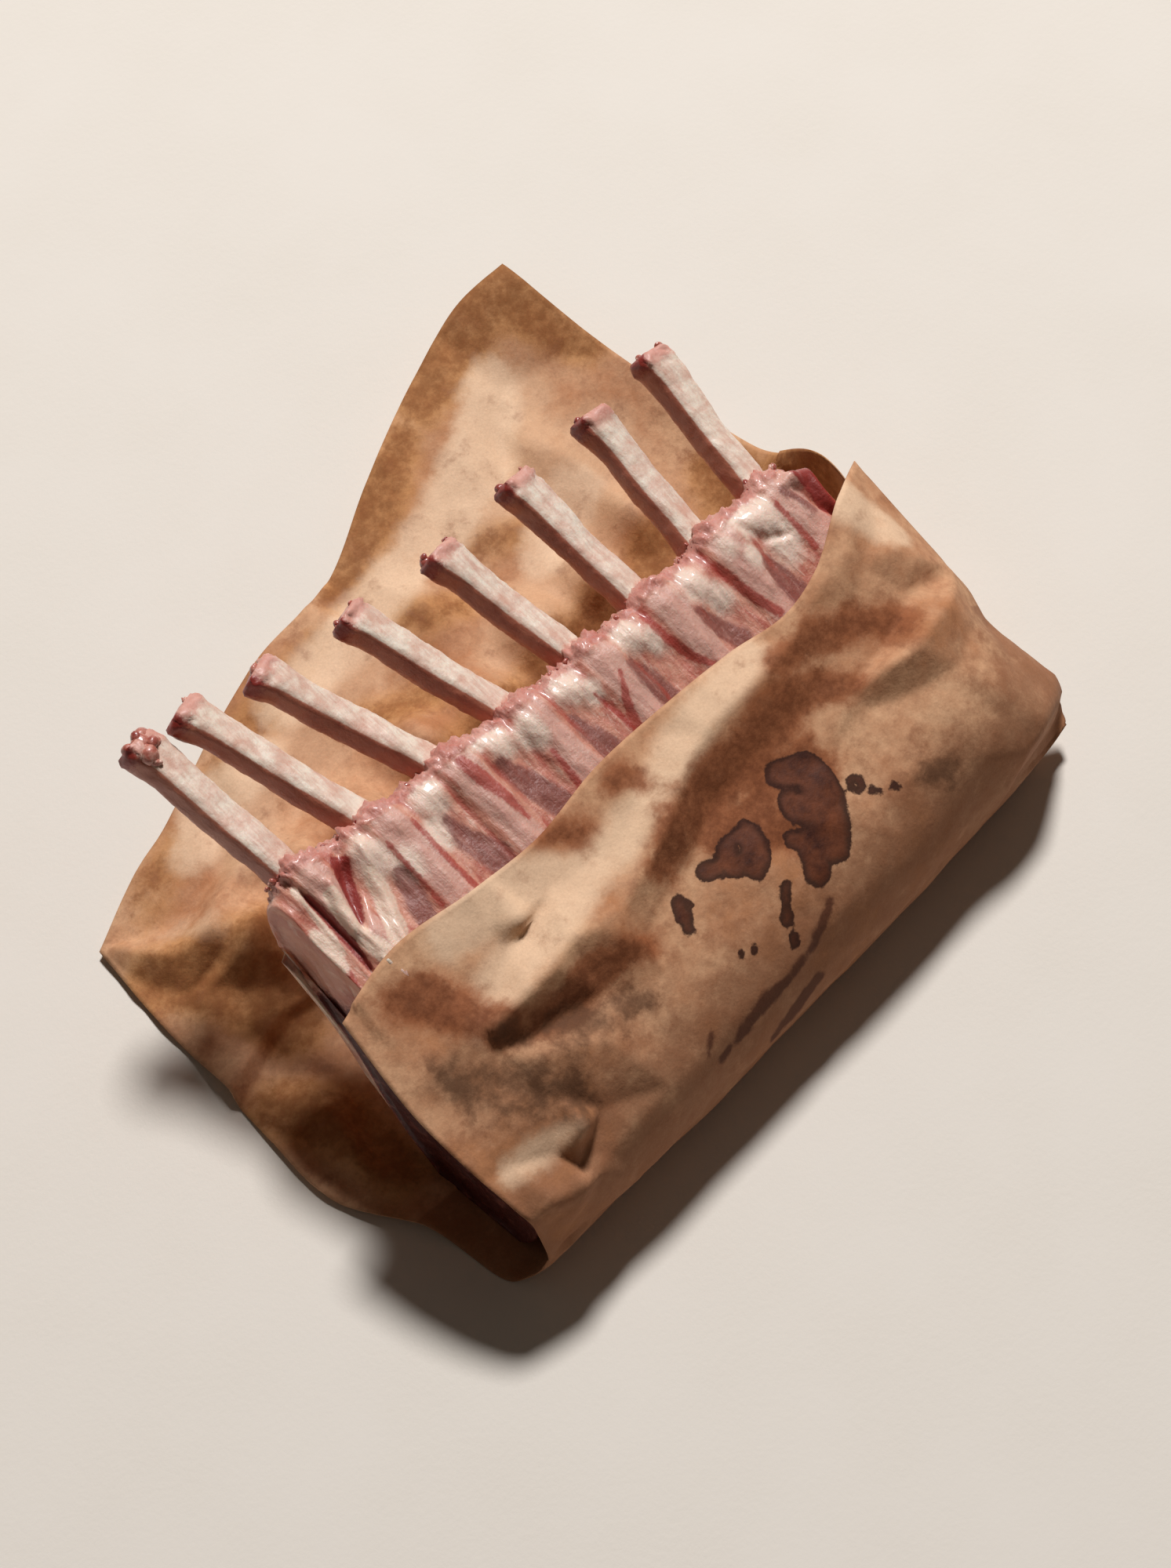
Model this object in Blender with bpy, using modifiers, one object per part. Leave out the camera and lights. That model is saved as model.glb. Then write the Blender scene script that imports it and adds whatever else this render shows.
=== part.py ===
# Raw rack of lamb: eight frenched ribs standing out of a strip of meat, lying in an
# open fold of butcher's paper. Metres, +Z up. The row of ribs runs along X, the bone
# tips point to +Y and the paper's fold is at -Y. The origin is on the floor, in the
# middle of the footprint.
import math

import bmesh
import bpy
import numpy as np
from mathutils import Vector, noise

MM = 0.001                   # the layout below is in millimetres, and meshes in metres
GAP = 0.3                    # kept between pieces that touch
ORIGIN = (-3.8, 28.4)        # middle of the footprint in the layout's own millimetres

# Ribs
RIB_PITCH = 26.0
RIB_MIDDLE = -0.5            # X of the middle of the row
RIB_LEANS = (-4, -15, -19, -15, -8, 0, 7, 9)          # degrees towards +X
RIB_LENGTHS = (56, 60, 58, 54, 50, 51, 50, 51)          # bare bone past the meat
RIB_WIDTH = 11.2
RIB_THICKNESS = 9.6
RIB_ROLL = 20.0              # degrees that the scraped face is turned towards +X
RIB_SHIFT = -1.8             # a bone's middle, sideways from its own rib line
RIB_RISE = 18.0              # degrees above level, where the bone is bare
RIB_BURIED = 18.0            # how far a bone runs back into the meat
RIB_BURIED_DROP = 34.0       # degrees that the buried stretch falls by
RIB_ROOT_Z = 69.8            # height of a bone's middle where it leaves the meat
RIB_SIDES = 12
RIB_SQUARENESS = 0.55         # 1 is an oval section, 0 a rectangle

# Meat: a strip with the chine edge low at the front and the frenched edge high at the back
RACK_START = -108.0
RACK_END = 100.0
RACK_SECTIONS = 41
PLINTH = 1.35                # underside of the meat, just clear of the paper
FRENCH_Y = 13.0              # Y of the frenched edge at its nearest
FRENCH_BOW = 0.0006          # how fast the edge swings back to +Y, per mm squared
FRENCH_BOW_X = 50.0
SCALLOP = 1.0                # how far the edge sinks between two bones
RIB_SWELL = 1.5              # how far the membrane stands up over a rib
END_ROUND = 15.0             # length over which the strip's ends are rounded
END_DROP = 6.0
CHINE_FRONT = -80.0          # the strip's front, behind the paper's front wall
CHINE_TOP = 39.5             # height of its front edge
MEMBRANE = ((-42.0, 56.0), (-16.0, 68.0), (-14.0, 75.0))     # Y and Z over the meat,
                             # the last Y counted from the frenched edge
RIDGE_Z = 78.0               # height of the membrane's edge above the bones
FAT_WIDTH = 5.0              # fat cap, measured level
FAT_TOP = 53.5

# Paper
PAPER_THICKNESS = 0.9        # one sheet, thick enough for a solid
PAPER_COLUMNS = 26
PAPER_CRUMPLE = 1.3          # height of its soft dents
PAPER_DENT_SIZE = 34.0       # how far apart they lie

# Rails across the sheet from its left edge to its right, each with the number of rows
# from it to the next. The far edge comes first, then the floor, the front fold, the
# crease above the front wall and the free top edge that lies over the meat.
PAPER_RAILS = (
    (5, ((-128, 75, 9), (-106, 83, 11), (-86, 89, 13), (-59, 99, 14), (-27, 108, 14),
         (9, 113, 14), (38, 126, 17), (77, 141, 22), (103, 147, 27), (122, 145, 31))),
    (4, ((-129, 47, 3), (-95, 54, 8), (-50, 64, 8), (0, 74, 8), (50, 86, 8), (95, 96, 11),
         (126, 97, 22))),
    (3, ((-131, 24, 1), (-60, 32, 1), (0, 38, 2), (60, 44, 3), (108, 46, 8), (128, 44, 22))),
    (3, ((-134, 0, 1), (-112, 2, 0), (-60, 4, 0), (0, 6, 0), (60, 8, 0), (109, 10, 0),
         (115.5, 10, 14), (118, 10, 58))),
    (4, ((-136, -22, 2), (-116, -24, 0), (-60, -24, 0), (0, -24, 0), (60, -24, 0),
         (109, -24, 0), (114.5, -24, 10), (114, -24, 42))),
    (3, ((-122, -62, 1), (-112, -62, 0), (-60, -62, 0), (0, -62, 0), (60, -62, 0),
         (109, -62, 0), (114.5, -62, 8), (114.5, -62, 24))),
    (2, ((-120, -79, 0), (-60, -80, 0), (0, -81, 0), (60, -81, 0), (106, -79, 0),
         (114, -77, 10))),
    (3, ((-115, -86, 7), (-60, -87, 6), (0, -87.5, 6), (60, -87, 6), (106, -86, 7),
         (120, -85, 10))),
    (2, ((-114, -84, 34), (-60, -85, 37), (0, -85, 38), (60, -85, 37), (104, -83, 30),
         (124, -78, 15))),
    (3, ((-116, -78, 42), (-60, -78, 45), (0, -78, 46), (60, -78, 46), (100, -76, 43),
         (113, -73, 33), (122, -70, 23))),
    (4, ((-118.5, -46, 55.5), (-61, -46, 60.5), (-1, -46, 60.5), (59, -46, 60.5),
         (100, -46, 59), (117, -46, 43.5))),
    (0, ((-115, -16, 68.5), (-92, -12, 72.5), (-64, -16, 73), (-41, -18, 72.5),
         (-12, -15, 73), (17, -16, 73), (41, -18, 72.5), (62, -21, 72), (77, -18, 73),
         (99, -7.5, 76), (117, -0.5, 69))),
)

COLOURS = {
    "butcher_paper": ((0.55, 0.33, 0.19, 1.0), 0.85),
    "lamb_meat": ((0.55, 0.16, 0.14, 1.0), 0.35),
    "fat_cap": ((0.80, 0.58, 0.48, 1.0), 0.4),
    "rib_bone": ((0.70, 0.56, 0.47, 1.0), 0.5),
}


def clear_scene():
    for old in list(bpy.data.objects):
        bpy.data.objects.remove(old, do_unlink=True)


def new_collection(name):
    collection = bpy.data.collections.new(name)
    bpy.context.scene.collection.children.link(collection)
    return collection


def finish_material(name):
    colour, roughness = COLOURS[name]
    material = bpy.data.materials.new(name)
    material.use_nodes = True
    shader = material.node_tree.nodes["Principled BSDF"]
    shader.inputs["Base Color"].default_value = colour
    shader.inputs["Roughness"].default_value = roughness
    return material


def to_world(point):
    return Vector(((point[0] - ORIGIN[0]) * MM, (point[1] - ORIGIN[1]) * MM, point[2] * MM))


def chords(points):
    steps = np.linalg.norm(np.diff(points, axis=0), axis=1)
    return np.concatenate(([0.0], np.cumsum(steps)))


def smooth_path(points, count=0, steps=()):
    # A cubic path through the points, read at even distances or, where steps are given,
    # with that many from each point to the next
    points = np.array(points, float)
    knots = chords(points)
    slopes = np.gradient(points, knots, axis=0)
    at = np.linspace(0.0, knots[-1], count)
    if steps:
        at = [knots[i] + (knots[i + 1] - knots[i]) * j / n
              for i, n in enumerate(steps) for j in range(n)]
        at = np.array(at + [knots[-1]])
    index = np.clip(np.searchsorted(knots, at, side="right") - 1, 0, len(points) - 2)
    width = (knots[index + 1] - knots[index])[:, None]
    t = ((at - knots[index])[:, None]) / width
    start, end = points[index], points[index + 1]
    return (start * (2 * t ** 3 - 3 * t ** 2 + 1) + end * (3 * t ** 2 - 2 * t ** 3)
            + slopes[index] * width * (t ** 3 - 2 * t ** 2 + t)
            + slopes[index + 1] * width * (t ** 3 - t ** 2))


def loft(name, rings, collection, material):
    # Skins a row of equal rings of points and closes both ends with a fan
    mesh = bpy.data.meshes.new(name)
    bm = bmesh.new()
    rows = [[bm.verts.new(to_world(p)) for p in ring] for ring in rings]
    for row, following in zip(rows, rows[1:]):
        for i in range(len(row)):
            j = (i + 1) % len(row)
            bm.faces.new((row[i], row[j], following[j], following[i]))
    bm.faces.new(rows[0])
    bm.faces.new(rows[-1])
    bmesh.ops.triangulate(bm, faces=bm.faces[:])
    bmesh.ops.recalc_face_normals(bm, faces=bm.faces[:])
    bm.to_mesh(mesh)
    bm.free()
    mesh.materials.append(material)
    piece = bpy.data.objects.new(name, mesh)
    collection.objects.link(piece)
    return piece


def rib_x(index):
    return RIB_MIDDLE + RIB_PITCH * (index - (len(RIB_LEANS) - 1) / 2)


def end_share(x):
    # 0 along the strip, rising to 1 at its two cut ends
    inside = min(x - RACK_START, RACK_END - x)
    return max(0.0, 1.0 - inside / END_ROUND) ** 2


def french_y(x):
    return FRENCH_Y + FRENCH_BOW * (x - FRENCH_BOW_X) ** 2


def between_ribs(x):
    # 0 on a rib's line, 1 half way to the next
    return 0.5 - 0.5 * math.cos(2 * math.pi * (x - rib_x(0)) / RIB_PITCH)


def outer_line(x):
    # The fat side, from the top of the fat cap down to the paper, overhanging
    edge = french_y(x) - END_DROP * end_share(x)
    shift = edge - 17.0
    return smooth_path(((edge - 7.0, FAT_TOP), (-5.0 + 0.55 * shift, 40.0),
                        (-20.0 + 0.3 * shift, 20.0), (-38.0, PLINTH)), count=7)


def meat_ring(x):
    ends = end_share(x)
    gully = between_ribs(x)
    edge = french_y(x) - END_DROP * ends - SCALLOP * gully
    low = 2.5 * ends + 1.2 * gully
    swell = RIB_SWELL * (1.0 - gully)
    (low_y, low_z), (mid_y, mid_z), (high_y, high_z) = MEMBRANE
    front = smooth_path(((-74, PLINTH), (CHINE_FRONT + 1 + ends, 7),
                         (CHINE_FRONT + 2 * ends, 31 - ends), (-73, CHINE_TOP - 2 * ends),
                         (low_y, low_z + swell / 2 - 2 * ends), (mid_y, mid_z + swell - 2 * ends),
                         (edge + high_y, high_z + swell - low),
                         (edge - 7, RIDGE_Z + swell / 2 - low)),
                        steps=(1, 2, 1, 3, 3, 3, 1))
    cut = [(edge - 1.0, 76.4 + swell - low), (edge + 1.5, 70.5 - low),
           (edge - 3.5, FAT_TOP + 3.0)]
    back = outer_line(x)
    back[:, 0] -= FAT_WIDTH + GAP
    shelf = [(back[0][0], FAT_TOP + GAP)]
    section = list(map(tuple, front)) + cut + shelf + list(map(tuple, back[1:]))
    return [(x, y, z) for y, z in section]


def fat_ring(x):
    outer = [tuple(p) for p in outer_line(x)]
    inner = [(y - FAT_WIDTH, z) for y, z in reversed(outer)]
    return [(x, y, z) for y, z in outer + inner]


def rack_stations():
    return np.linspace(RACK_START, RACK_END, RACK_SECTIONS)


def squared(value):
    # Pushes a circle's sine and cosine out towards a box with round corners
    return math.copysign(abs(value) ** RIB_SQUARENESS, value)


def rib_rings(index, grow=0.0):
    # Flattened rings along the bone, from deep in the meat to the sawn tip
    lean = math.radians(RIB_LEANS[index])
    ahead = Vector((math.sin(lean), math.cos(lean), 0))
    side = Vector((math.cos(lean), -math.sin(lean), 0))
    x = rib_x(index)
    root = Vector((x + RIB_SHIFT, french_y(x), RIB_ROOT_Z))
    rise = math.radians(RIB_RISE)
    roll = math.radians(RIB_ROLL)
    drop = math.radians(RIB_BURIED_DROP)
    buried = root - RIB_BURIED * (ahead * math.cos(drop) + Vector((0, 0, math.sin(drop))))
    tip = root + RIB_LENGTHS[index] * (ahead * math.cos(rise) + Vector((0, 0, math.sin(rise))))
    spine = smooth_path((buried, root, root.lerp(tip, 0.5) - Vector((0, 0, 0.8)), tip),
                        steps=(2, 2, 3))
    rings = []
    for station, middle in enumerate(spine):
        before = Vector(spine[max(station - 1, 0)])
        after = Vector(spine[min(station + 1, len(spine) - 1)])
        up = side.cross((after - before).normalized())
        out = up * math.cos(roll) + side * math.sin(roll)
        flank = side * math.cos(roll) - up * math.sin(roll)
        along = station / (len(spine) - 1)
        flare = 1.0 - 0.06 * math.sin(math.pi * along) + 0.20 * max(0.0, along - 0.8) / 0.2
        half_width = RIB_WIDTH / 2 * flare + grow
        half_height = RIB_THICKNESS / 2 * (0.94 + 0.06 * flare) + grow
        ring = []
        for k in range(RIB_SIDES):
            angle = 2 * math.pi * (k + 0.5) / RIB_SIDES
            across, above = squared(math.cos(angle)), squared(math.sin(angle))
            ring.append(Vector(middle) + flank * (half_width * across)
                        + out * (half_height * above))
        rings.append(ring)
    if grow:
        step = (rings[0][0] - rings[1][0]).normalized() * grow
        rings[0] = [p + step for p in rings[0]]
    return rings


def cut_sockets(piece, cutters):
    for number, cutter in enumerate(cutters, start=1):
        cut = piece.modifiers.new("socket_%d" % number, "BOOLEAN")
        cut.operation = "DIFFERENCE"
        cut.solver = "EXACT"
        cut.object = cutter


def make_bones(collection, cutting):
    material = finish_material("rib_bone")
    cutters = []
    for index in range(len(RIB_LEANS)):
        bone = loft("rib_bone_%d" % (index + 1), rib_rings(index), collection, material)
        bone.data.shade_smooth()
        bone.data.set_sharp_from_angle(angle=math.radians(50))
        cutter = loft("socket_cutter_%d" % (index + 1), rib_rings(index, GAP), cutting,
                      material)
        cutter.hide_render = True
        cutter.display_type = "WIRE"
        cutters.append(cutter)
    return cutters


def make_paper(collection):
    rails = [smooth_path(points, count=PAPER_COLUMNS + 1) for rows, points in PAPER_RAILS]
    steps = [rows for rows, points in PAPER_RAILS[:-1]]
    columns = [smooth_path([rail[c] for rail in rails], steps=steps)
               for c in range(PAPER_COLUMNS + 1)]
    mesh = bpy.data.meshes.new("butcher_paper")
    bm = bmesh.new()
    bmesh.ops.create_grid(bm, x_segments=PAPER_COLUMNS, y_segments=sum(steps), size=1.0)
    bm.verts.ensure_lookup_table()
    for vert in bm.verts:
        column = round((vert.co.x + 1) / 2 * PAPER_COLUMNS)
        row = round((1 - vert.co.y) / 2 * sum(steps))
        x, y, z = columns[column][row]
        free = min(1.0, max(0.0, z) / 8.0)
        dent = noise.noise(Vector((x, y, z)) / PAPER_DENT_SIZE) * PAPER_CRUMPLE * free
        vert.co = to_world((x, y + (dent if z > 20 else 0.0), max(0.0, z + dent)))
    bmesh.ops.recalc_face_normals(bm, faces=bm.faces[:])
    bm.to_mesh(mesh)
    bm.free()
    mesh.materials.append(finish_material("butcher_paper"))
    sheet = bpy.data.objects.new("butcher_paper", mesh)
    collection.objects.link(sheet)
    wall = sheet.modifiers.new("thickness", "SOLIDIFY")
    wall.thickness = PAPER_THICKNESS * MM
    wall.offset = -1.0
    wall.use_even_offset = True


def make_part():
    clear_scene()
    collection = new_collection("rack_of_lamb")
    cutting = new_collection("socket_cutters")
    cutters = make_bones(collection, cutting)
    meat = loft("lamb_meat", [meat_ring(x) for x in rack_stations()], collection,
                finish_material("lamb_meat"))
    cut_sockets(meat, cutters)
    loft("fat_cap", [fat_ring(x) for x in rack_stations()], collection,
         finish_material("fat_cap"))
    make_paper(collection)


make_part()
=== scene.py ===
# Raw rack of lamb lying in an open fold of butcher's paper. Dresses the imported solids:
# the sheet, the meat and its membrane, the fat under it and eight bare ribs.
import math

import bpy
import numpy as np
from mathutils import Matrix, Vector, noise
from mathutils.geometry import delaunay_2d_cdt


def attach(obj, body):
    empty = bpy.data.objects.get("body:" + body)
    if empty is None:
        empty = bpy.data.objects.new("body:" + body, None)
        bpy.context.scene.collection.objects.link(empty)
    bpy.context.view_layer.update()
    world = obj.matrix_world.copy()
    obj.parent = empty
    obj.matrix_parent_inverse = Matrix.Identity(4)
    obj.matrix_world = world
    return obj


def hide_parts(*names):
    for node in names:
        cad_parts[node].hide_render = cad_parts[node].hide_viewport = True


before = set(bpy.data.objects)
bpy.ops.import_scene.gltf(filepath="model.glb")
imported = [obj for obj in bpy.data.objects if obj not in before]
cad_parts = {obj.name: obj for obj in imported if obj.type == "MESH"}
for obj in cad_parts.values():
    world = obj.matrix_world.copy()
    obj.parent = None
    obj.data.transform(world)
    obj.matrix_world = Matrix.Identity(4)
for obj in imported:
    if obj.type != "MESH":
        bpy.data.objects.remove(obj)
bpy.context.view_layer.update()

mm = 0.001
layoutMiddle = np.array((-3.8, 28.4, 0.0))  # shapes are laid out in mm from their own corner
ribCount = 8


# small tools

def toRow(points):
    return (np.asarray(points, float) - layoutMiddle) * mm


def smoothStep(value, low, high):
    t = np.clip((value - low) / (high - low), 0.0, 1.0)
    return t * t * (3 - 2 * t)


def smoothPath(points, count=0, steps=()):
    # a cubic path through the points, at even distances or with so many steps between two
    points = np.array(points, float)
    knots = np.concatenate(([0.0], np.cumsum(np.linalg.norm(np.diff(points, axis=0), axis=1))))
    slopes = np.gradient(points, knots, axis=0)
    at = np.linspace(0.0, knots[-1], count)
    if len(steps):
        at = [knots[i] + (knots[i + 1] - knots[i]) * j / n
              for i, n in enumerate(steps) for j in range(n)]
        at = np.array(at + [knots[-1]])
    index = np.clip(np.searchsorted(knots, at, side="right") - 1, 0, len(points) - 2)
    width = (knots[index + 1] - knots[index])[:, None]
    t = (at - knots[index])[:, None] / width
    start, end = points[index], points[index + 1]
    return (start * (2 * t ** 3 - 3 * t ** 2 + 1) + end * (3 * t ** 2 - 2 * t ** 3)
            + slopes[index] * width * (t ** 3 - 2 * t ** 2 + t)
            + slopes[index + 1] * width * (t ** 3 - t ** 2))


def stroke(points, path):
    # path is (x, y, z, half width) points; gives 1 on its line falling to 0 at its border,
    # and the distance in mm inside that border
    fall = np.full(len(points), -99.0)
    depth = np.full(len(points), -99.0)
    path = [np.array(p, float) for p in path]
    for a, b in zip(path, path[1:] or path):
        ab = b[:3] - a[:3]
        t = np.clip((points - a[:3]) @ ab / max(ab @ ab, 1e-9), 0, 1)
        away = np.linalg.norm(points - (a[:3] + t[:, None] * ab), axis=1)
        reach = a[3] + (b[3] - a[3]) * t
        fall = np.maximum(fall, 1 - away / reach)
        depth = np.maximum(depth, reach - away)
    return fall, depth


def strokes(points, paths, soft=0.0):
    # the deepest of several strokes, as mm inside, or as 0 to 1 over a soft border
    depth = np.max([stroke(points, path)[1] for path in paths], axis=0)
    return smoothStep(depth, -soft, soft) if soft else depth


def roughness3d(points, size, seed=0, octaves=1):
    shift = Vector((seed * 17.3, seed * 7.1, seed * 3.7))
    return np.array([noise.fractal(Vector(p) / size + shift, 0.6, 2.1, octaves) for p in points])


def crumple(flat, creases, spacing, loose, seed):
    # height of a crumpled sheet: flat triangles between creases given as (u, v, height)
    # points, and between loose corners that fill the rest; loose gives their roughness
    rng = np.random.default_rng(seed)
    spots, heights, edges = [], [], []
    for line in creases:
        edges += [(len(spots) + i, len(spots) + i + 1) for i in range(len(line) - 1)]
        spots += [p[:2] for p in line]
        heights += [p[2] for p in line]
    low, high = flat.min(axis=0) - spacing, flat.max(axis=0) + spacing
    across = np.arange(low[0], high[0] + spacing * 0.9, spacing)
    along = np.arange(low[1], high[1] + spacing * 0.9, spacing)
    filler = np.stack(np.meshgrid(across, along), -1).reshape(-1, 2)
    filler += rng.uniform(-0.42, 0.42, filler.shape) * spacing
    for spot in filler:
        here = np.array([[spot[0], spot[1], 0.0]])
        near = max([stroke(here, [(q[0], q[1], 0, 1) for q in line])[1][0]
                    for line in creases] or [-99])
        if near > -0.45 * spacing:
            continue
        spots.append(tuple(spot))
        heights.append(rng.normal() * loose(spot[1]))
    result = delaunay_2d_cdt([Vector(p) for p in spots], edges, [], 0, 0.01, True)
    corners = np.array([tuple(p) for p in result[0]])
    tops = []
    for corner, source in zip(corners, result[3]):
        if source:
            tops.append(np.mean([heights[i] for i in source]))
        else:
            away = np.linalg.norm(np.array(spots) - corner, axis=1)
            tops.append(heights[int(np.argmin(away))])
    tops = np.array(tops)
    out = np.zeros(len(flat))
    for tri in result[2]:
        (ax, ay), (bx, by), (cx, cy) = corners[tri[0]], corners[tri[1]], corners[tri[2]]
        span = (by - cy) * (ax - cx) + (cx - bx) * (ay - cy)
        box = ((flat[:, 0] >= min(ax, bx, cx)) & (flat[:, 0] <= max(ax, bx, cx))
               & (flat[:, 1] >= min(ay, by, cy)) & (flat[:, 1] <= max(ay, by, cy)))
        if abs(span) < 1e-9 or not box.any():
            continue
        x, y = flat[box].T
        one = ((by - cy) * (x - cx) + (cx - bx) * (y - cy)) / span
        two = ((cy - ay) * (x - cx) + (ax - cx) * (y - cy)) / span
        inside = (one >= -1e-6) & (two >= -1e-6) & (one + two <= 1 + 1e-6)
        where = np.flatnonzero(box)[inside]
        out[where] = (one * tops[tri[0]] + two * tops[tri[1]]
                      + (1 - one - two) * tops[tri[2]])[inside]
    return out


def softened(grid, passes):
    for _ in range(passes):
        padded = np.pad(grid, 1, mode="edge")
        grid = (padded[1:-1, 1:-1] * 4 + padded[:-2, 1:-1] + padded[2:, 1:-1]
                + padded[1:-1, :-2] + padded[1:-1, 2:]) / 8
    return grid


def gridNormals(grid):
    across = np.gradient(grid, axis=1)
    along = np.gradient(grid, axis=0)
    normal = np.cross(along, across)
    return normal / np.maximum(np.linalg.norm(normal, axis=2, keepdims=True), 1e-9)


def meshPiece(name, points, faces, material, fields=None, uv=None):
    mesh = bpy.data.meshes.new(name)
    mesh.from_pydata([tuple(p) for p in points], [], faces)
    for field, values in (fields or {}).items():
        layer = mesh.attributes.new(field, "FLOAT", "POINT")
        layer.data.foreach_set("value", np.asarray(values, np.float32).ravel())
    if uv is not None:
        layer = mesh.uv_layers.new(name="sheet")
        corners = np.zeros(len(mesh.loops), np.int32)
        mesh.loops.foreach_get("vertex_index", corners)
        layer.data.foreach_set("uv", np.asarray(uv, np.float32)[corners].ravel())
    mesh.validate()
    mesh.materials.append(material)
    mesh.shade_smooth()
    piece = bpy.data.objects.new(name, mesh)
    bpy.context.scene.collection.objects.link(piece)
    return piece


def srgb(code, alpha=1.0):
    # a hex colour as seen on a screen, turned to linear light
    parts = [int(code[i:i + 2], 16) / 255 for i in (1, 3, 5)]
    return tuple(c / 12.92 if c <= 0.04045 else ((c + 0.055) / 1.055) ** 2.4
                 for c in parts) + (alpha,)


def perMm(size):
    return 1.0 / (size * mm)  # noise scale whose features are about this many mm across


def addNode(tree, kind, inputs=None, **settings):
    node = tree.nodes.new(kind)
    for key, value in settings.items():
        setattr(node, key, value)
    for key, value in (inputs or {}).items():
        if isinstance(value, bpy.types.NodeSocket):
            tree.links.new(value, node.inputs[key])
        else:
            node.inputs[key].default_value = value
    return node


def newMaterial(name):
    material = bpy.data.materials.new(name)
    material.use_nodes = True
    tree = material.node_tree
    return material, tree, tree.nodes["Principled BSDF"]


def paintLayers(tree, base, layers):
    # lays stains over a colour: a named field, a noise that eats its border, how far it
    # eats, where the border starts and ends, how much it covers, and its colour
    masks = {}
    for name, rough, amount, low, high, cover, colour in layers:
        field = addNode(tree, "ShaderNodeAttribute", attribute_name=name)
        shifted = addNode(tree, "ShaderNodeMath", {0: rough, 1: 0.5}, operation="SUBTRACT")
        eaten = addNode(tree, "ShaderNodeMath", {0: shifted.outputs[0], 1: amount,
                                                 2: field.outputs["Fac"]},
                        operation="MULTIPLY_ADD")
        mask = addNode(tree, "ShaderNodeMapRange",
                       {"Value": eaten.outputs[0], "From Min": low, "From Max": high,
                        "To Max": cover}, interpolation_type="SMOOTHSTEP")
        masks[name] = mask.outputs["Result"]
        base = addNode(tree, "ShaderNodeMix", {0: mask.outputs["Result"], 6: base,
                                               7: colour}, data_type="RGBA").outputs[2]
    return base, masks


# camera, light, floor

view = {
    "turn": -48.0, "tilt": 60.0, "lens": 85.0, "away": 1.0732,
    "target": (0.0038, -0.0284, 0.030),
}

studio = {
    "keyTurn": 132.0, "keyTilt": 58.0, "keyAway": 3.6, "keySize": 0.63, "keyPower": 138.0,
    "keyColour": "#ffffff", "ambient": 0.07, "ambientColour": "#f6e4d2",
    "floorColour": "#e9e1d8",
}


def aimAt(thing, place, target):
    thing.location = place
    thing.rotation_euler = (Vector(target) - Vector(place)).to_track_quat("-Z", "Y").to_euler()


def setCamera():
    turn, tilt = math.radians(view["turn"]), math.radians(view["tilt"])
    back = Vector((math.sin(turn) * math.cos(tilt), -math.cos(turn) * math.cos(tilt),
                   math.sin(tilt)))
    camera = bpy.data.objects.new("camera", bpy.data.cameras.new("camera"))
    camera.data.lens = view["lens"]
    camera.data.clip_start = 0.05
    bpy.context.scene.collection.objects.link(camera)
    aimAt(camera, Vector(view["target"]) + back * view["away"], view["target"])
    bpy.context.scene.camera = camera


def setStudio():
    scene = bpy.context.scene
    scene.view_settings.view_transform = "Standard"
    scene.view_settings.look = "None"
    lamp = bpy.data.lights.new("softbox", "AREA")
    lamp.shape = "DISK"
    lamp.size = studio["keySize"]
    lamp.energy = studio["keyPower"]
    lamp.color = srgb(studio["keyColour"])[:3]
    softbox = bpy.data.objects.new("softbox", lamp)
    scene.collection.objects.link(softbox)
    turn, tilt = math.radians(studio["keyTurn"]), math.radians(studio["keyTilt"])
    place = Vector((math.sin(turn) * math.cos(tilt), -math.cos(turn) * math.cos(tilt),
                    math.sin(tilt))) * studio["keyAway"]
    aimAt(softbox, place, (0, 0, 0.03))
    world = bpy.data.worlds.new("room")
    scene.world = world
    world.use_nodes = True
    sky = world.node_tree.nodes["Background"]
    sky.inputs["Color"].default_value = srgb(studio["ambientColour"])
    sky.inputs["Strength"].default_value = studio["ambient"]


def makeFloor():
    # matt cotton backdrop: near white, faintly mottled, no shine
    material, tree, shader = newMaterial("cottonBackdrop")
    where = addNode(tree, "ShaderNodeTexCoord").outputs["Object"]
    cloud = addNode(tree, "ShaderNodeTexNoise", {"Vector": where, "Scale": perMm(60),
                                                 "Detail": 3.0, "Roughness": 0.6})
    pile = addNode(tree, "ShaderNodeTexNoise", {"Vector": where, "Scale": perMm(2.2),
                                                "Detail": 3.0, "Roughness": 0.7})
    tint = addNode(tree, "ShaderNodeMix", {0: cloud.outputs["Fac"],
                                           6: srgb(studio["floorColour"]),
                                           7: srgb("#e3dacf")}, data_type="RGBA")
    height = addNode(tree, "ShaderNodeMath", {0: cloud.outputs["Fac"],
                                              1: pile.outputs["Fac"]}, operation="MULTIPLY")
    bump = addNode(tree, "ShaderNodeBump", {"Height": height.outputs[0], "Strength": 0.25,
                                            "Distance": 0.6 * mm})
    tree.links.new(tint.outputs[2], shader.inputs["Base Color"])
    tree.links.new(bump.outputs["Normal"], shader.inputs["Normal"])
    shader.inputs["Roughness"].default_value = 0.95
    shader.inputs["Specular IOR Level"].default_value = 0.1
    half = 3.0
    floor = meshPiece("floor", [(-half, -half, -0.0003), (half, -half, -0.0003),
                                (half, half, -0.0003), (-half, half, -0.0003)],
                      [(0, 1, 2, 3)], material)


# butcher's paper

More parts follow.
